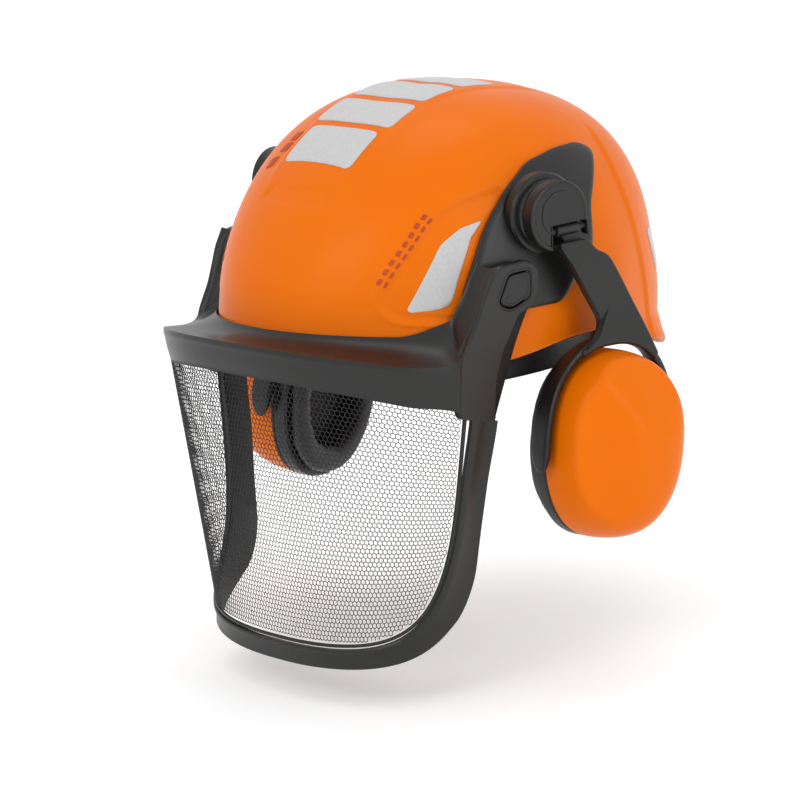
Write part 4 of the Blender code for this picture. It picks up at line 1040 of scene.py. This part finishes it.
def make_face_mesh():
    """Hexagonal wires over the whole face, cut off at the bead."""
    sides = np.linspace(-0.95, 0.95, 1500)
    line = visor_point(sides, 0.45)
    length = travelled(line)
    edge = MESH_PITCH / math.sqrt(3)
    rows = int(MESH_HEIGHT / (edge * 1.5)) + 2
    columns = int(length[-1] / MESH_PITCH) + 2
    ends, keys = [], {}
    wires = set()

    def corner(u, v):
        key = (round(u / (MESH_PITCH / 2)), round(v / (edge / 2)))
        if key not in keys:
            keys[key] = len(ends)
            ends.append((u, v))
        return keys[key]

    for row in range(rows):
        for column in range(columns):
            u = (column + 0.5 * (row % 2)) * MESH_PITCH
            v = row * edge * 1.5
            ring = [corner(u + dx * MESH_PITCH / 2, v + dz * edge / 2) for dx, dz in
                    ((0, 2), (1, 1), (1, -1), (0, -2), (-1, -1), (-1, 1))]
            for a, b in zip(ring, ring[1:] + ring[:1]):
                wires.add((min(a, b), max(a, b)))
    ends = np.array(ends)
    side = np.interp(ends[:, 0], length, sides)
    down = MESH_START + ends[:, 1] / MESH_HEIGHT * (MESH_FOOT - MESH_START)
    limit = edge_limit(side)
    keep = (down >= MESH_START - 1e-6) & (down <= limit) & (ends[:, 0] <= length[-1]) & (ends[:, 0] >= 0)
    points = visor_point(side, down)
    out = visor_point(side, down, 1.0) - points
    wires = np.array([w for w in sorted(wires) if keep[w[0]] and keep[w[1]]])
    first, second = points[wires[:, 0]], points[wires[:, 1]]
    normal = out[wires[:, 0]]
    across = np.cross(second - first, normal)
    across /= np.linalg.norm(across, axis=1, keepdims=True)
    corners = []
    for place in (first, second):
        for move in (across, normal, -across, -normal):
            corners.append(place + move * WIRE_RADIUS)
    corners = np.stack(corners, axis=1)
    faces = []
    for k in range(len(wires)):
        base = k * 8
        for j in range(4):
            after = (j + 1) % 4
            faces.append((base + j, base + after, base + 4 + after, base + 4 + j))
        faces += [(base, base + 3, base + 2, base + 1), (base + 4, base + 5, base + 6, base + 7)]
    mesh = raw_mesh("face_mesh", corners.reshape(-1, 3), faces)
    mesh.materials.append(FINISH["wire"])
    mesh.shade_smooth()
    made = linked("face_mesh", mesh)
    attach(made, "visor")
    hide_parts("visor_mesh")


def edge_limit(side):
    """How far down the mesh reaches at each place across the face."""
    cosine = np.clip(np.abs(side) / MESH_HALF, 0, 1) ** (U_EXPONENT / 2)
    sine = np.sqrt(np.maximum(0, 1 - cosine ** 2))
    limit = MESH_START + (MESH_FOOT - MESH_START) * sine ** (2 / U_EXPONENT)
    return np.where(np.abs(side) <= MESH_HALF, limit, -1.0)


CHEEK_SEAT = np.array([(-79.0, 25.5), (-73.0, 34.0), (-67.5, 43.0), (-62.5, 51.0)])
CHEEK_EDGE = np.array([(-95.3, 4.0), (-90.5, 11.5), (-84.5, 20.0), (-79.0, 31.0), (-74.5, 41.0), (-67.0, 51.5)])


def along_curve(corners, shares):
    length = travelled(corners)
    return np.stack([np.interp(shares * length[-1], length, corners[:, k]) for k in (0, 1)], axis=1)


def brow_half():
    """Seat, crease and lip lines on the wearer's left, from the middle round to the top of the arm."""
    share = np.linspace(0, 1, 111)
    around = share * BROW_ANGLE
    seat = dome(around, 4.0, SEAT_GAP)
    plane = tilted(np.stack([0 * share, seat[:, 1], 0 * share], axis=-1))[:, 2]
    seat[:, 2] = plane + 1.5 + 13 * ease((around - 42) / 22)
    crease = edge_curve(BROW_CREASE, share * BROW_END, 0.0, BROW_EXPONENT)
    lip = edge_curve(VISOR_TOP, share * BROW_END)
    pull = ease((share - 0.80) / 0.2)[:, None]
    for line in (crease, lip):
        goal = np.stack([ARM_OUTER_X + ARM_SPLAY * line[:, 2], np.full(len(line), -95.3), line[:, 2]], axis=1)
        line += (goal - line) * pull
    crease[:, 2] += 7.7 * ease((share - 0.84) / 0.16) ** 2
    climb = np.linspace(0, 1, 41)[1:]
    flat = along_curve(CHEEK_SEAT, climb)
    found = lift_plain_side(flat, 3.0 + 1.6 * climb)
    found += (seat[-1] - found[0]) * np.maximum(0, 1 - climb * 3)[:, None]
    flat = along_curve(CHEEK_EDGE, climb)
    edge = np.column_stack([ARM_OUTER_X + ARM_SPLAY * flat[:, 1] + 0.05, flat])
    under = edge + np.array([-3.5, 2.5, -1.5])
    lines = [np.vstack(pair) for pair in ((seat, found), (crease, edge), (lip, under))]
    for line in lines:
        for _ in range(6):
            line[1:-1] = (line[:-2] + 2 * line[1:-1] + line[2:]) / 4
    return lines


def make_brow():
    """The peak's concave flare, which climbs the arms, the bar under its crease, and the back."""
    seat, crease, lip = (np.vstack([(line * (-1, 1, 1))[:0:-1], line]) for line in brow_half())
    ahead = np.gradient(crease, axis=0)
    inward = np.stack([-ahead[:, 1], ahead[:, 0], 0 * ahead[:, 0]], axis=1)
    inward /= np.maximum(np.linalg.norm(inward, axis=1, keepdims=True), 1e-9)
    width = np.linalg.norm(crease - seat, axis=1)[:, None]
    fall = np.linalg.norm(crease - lip, axis=1)[:, None] / 26.0
    up = np.array([0, 0, 1.0])
    rings = []
    for t in np.linspace(0, 1, 17):
        sag = 0.105 * width * np.sin(math.pi * t ** 0.8)
        flare = seat + (crease - seat) * t + up * (0.4 * (t == 0))
        rings.append(flare - up * sag * 0.9 + inward * sag * 0.35)
    rings.append(crease + up * -0.5 - inward * 0.15 * fall)
    rings.append(crease + up * -1.3 - inward * 0.1 * fall)
    for t in (0.10, 0.16, 0.2, 0.24, 0.28, 0.45, 0.62, 0.8, 0.94):
        belly = 0.8 * math.sin(math.pi * t) + 0.5 * (1 - min(1, max(0, (t - 0.18) / 0.08)))
        rings.append(crease + (lip - crease) * t - inward * belly * fall)
    rings.append(lip - inward * 0.1 * fall)
    rings.append(lip + (inward * 0.8 - up * 0.25) * fall)
    rings.append(lip + inward * 4.3 * fall)
    rings.append(crease + (inward * 7 - up * 4) * (0.3 + 0.7 * fall))
    rings.append(seat - up * (1.2 + 2.1 * fall))
    rings.append(seat - up * 0.4 - inward * 0.2)
    points, faces = loft(np.array(rings).transpose(1, 0, 2))
    piece("brow_peak", points, faces, "visor", "black", "black_plastic", ("brow_guard",), 24.0)


def arm_lift_splayed(flat, height):
    """The lift for the visor arms, which lean outward as they go up."""
    return np.column_stack([height + ARM_SPLAY * flat[:, 1], flat])


def make_visor_arms():
    outline = even(rounded(ARM_OUTLINE, 5), 180)
    window = even(rounded(WINDOW_OUTLINE, 4), 180)
    high, low = ARM_OUTER_X, ARM_OUTER_X - ARM_THICKNESS
    start = np.argmin(np.linalg.norm(window - outline[0], axis=1))
    window = np.roll(window, -start, axis=0)
    if np.linalg.norm(window[10] - outline[10]) > np.linalg.norm(window[-10] - outline[10]):
        window = np.roll(window[::-1], 1, axis=0)
    profile = ((1.0, low), (0.0, low + 1.0), (0.0, high - 1.6), (0.35, high - 0.7), (1.2, high - 0.05),
               (1.6, high))
    rings = [arm_lift_splayed(inset(outline, back), x) for back, x in profile]
    flange = inset(window, -1.7)
    inner_edge = inset(outline, 1.6)
    for t in (0.25, 0.5, 0.75, 0.93):
        rings.append(arm_lift_splayed(inner_edge + (flange - inner_edge) * t, high))
    for flat, x in ((flange, high + 0.05), (inset(window, -1.1), high + 0.55),
                    (inset(window, -0.4), high + 0.5), (window, high - 0.1), (window, high - WINDOW_DEPTH)):
        rings.append(arm_lift_splayed(flat, x))
    both("visor_side", *loft(rings), "visor", "black", "black_plastic", "visor_arm", 28.0)
    button = even(rounded(BUTTON_OUTLINE, 3.5), 110)
    profile = ((0.3, high - 1.9), (0.0, high - 1.6), (0.0, high + 0.1), (0.5, high + 0.6), (1.6, high + 0.75),
               (2.0, high + 0.3), (3.2, high + 0.1))
    body = plate(button, profile, arm_lift_splayed, ((0.4, high + 0.1), (0.8, high + 0.1)))
    both("release_button", *body, "button", "grained", "black_plastic", "lock_button", 24.0)


# --- scene -----------------------------------------------------------------------------------------
def make_camera():
    azimuth, elevation, roll = (math.radians(value) for value in (47.0, 12.75, -4.12))
    distance = 2.099
    back = Vector((math.sin(azimuth) * math.cos(elevation), -math.cos(azimuth) * math.cos(elevation),
                   math.sin(elevation)))
    level = Vector((math.cos(azimuth), math.sin(azimuth), 0))
    raised = back.cross(level)
    right = level * math.cos(roll) + raised * math.sin(roll)
    up = raised * math.cos(roll) - level * math.sin(roll)
    aim = right * -0.0253 + up * -0.0545
    place = back * distance
    behind = (place - aim).normalized()
    right = (right - behind * right.dot(behind)).normalized()
    up = behind.cross(right)
    data = bpy.data.cameras.new("camera")
    data.sensor_width = 36
    data.lens = 157.7
    data.clip_end = 30
    camera = linked("camera", data)
    turn = Matrix((right, up, behind)).transposed().to_4x4()
    camera.matrix_world = Matrix.Translation(place) @ turn
    bpy.context.scene.camera = camera


def area_light(name, place, size, power_w):
    """A soft lamp that faces the helmet."""
    data = bpy.data.lights.new(name, "AREA")
    data.shape = "RECTANGLE"
    data.size, data.size_y = size
    data.energy = power_w
    light = linked(name, data)
    light.location = place
    light.rotation_euler = (-Vector(place)).to_track_quat("-Z", "Y").to_euler()


def make_studio():
    bpy.context.scene.view_settings.view_transform = "Standard"
    world = bpy.data.worlds.new("studio")
    bpy.context.scene.world = world
    world.use_nodes = True
    sky = world.node_tree.nodes["Background"]
    sky.inputs["Color"].default_value = (1, 1, 1, 1)
    sky.inputs["Strength"].default_value = 0.93
    area_light("key", (0.3, -1.7, 1.2), (1.1, 0.8), 8)
    area_light("side", (2.0, 0.2, 0.7), (0.6, 1.4), 7)
    area_light("top", (-0.2, 0.4, 1.9), (1.0, 1.0), 6)
    floor = bpy.data.meshes.new("floor")
    floor.from_pydata([(-8, -8, -0.2), (8, -8, -0.2), (8, 8, -0.2), (-8, 8, -0.2)], [], [(0, 1, 2, 3)])
    made = linked("floor", floor)
    pale = Finish("pale_floor", 0.9, Emission_Color=(1, 1, 1, 1), Emission_Strength=0.16)
    pale.colours(pale.noise(3.0), ((0.3, grey(0.93)), (0.7, grey(0.95))))
    floor.materials.append(pale.material)


make_camera()
make_studio()
make_films()
make_slots()
make_adapters()
make_turntable()
make_hanger()
make_yoke()
make_cups()
make_brow()
make_frame()
make_face_mesh()
make_visor_arms()
make_harness()
make_cushions()
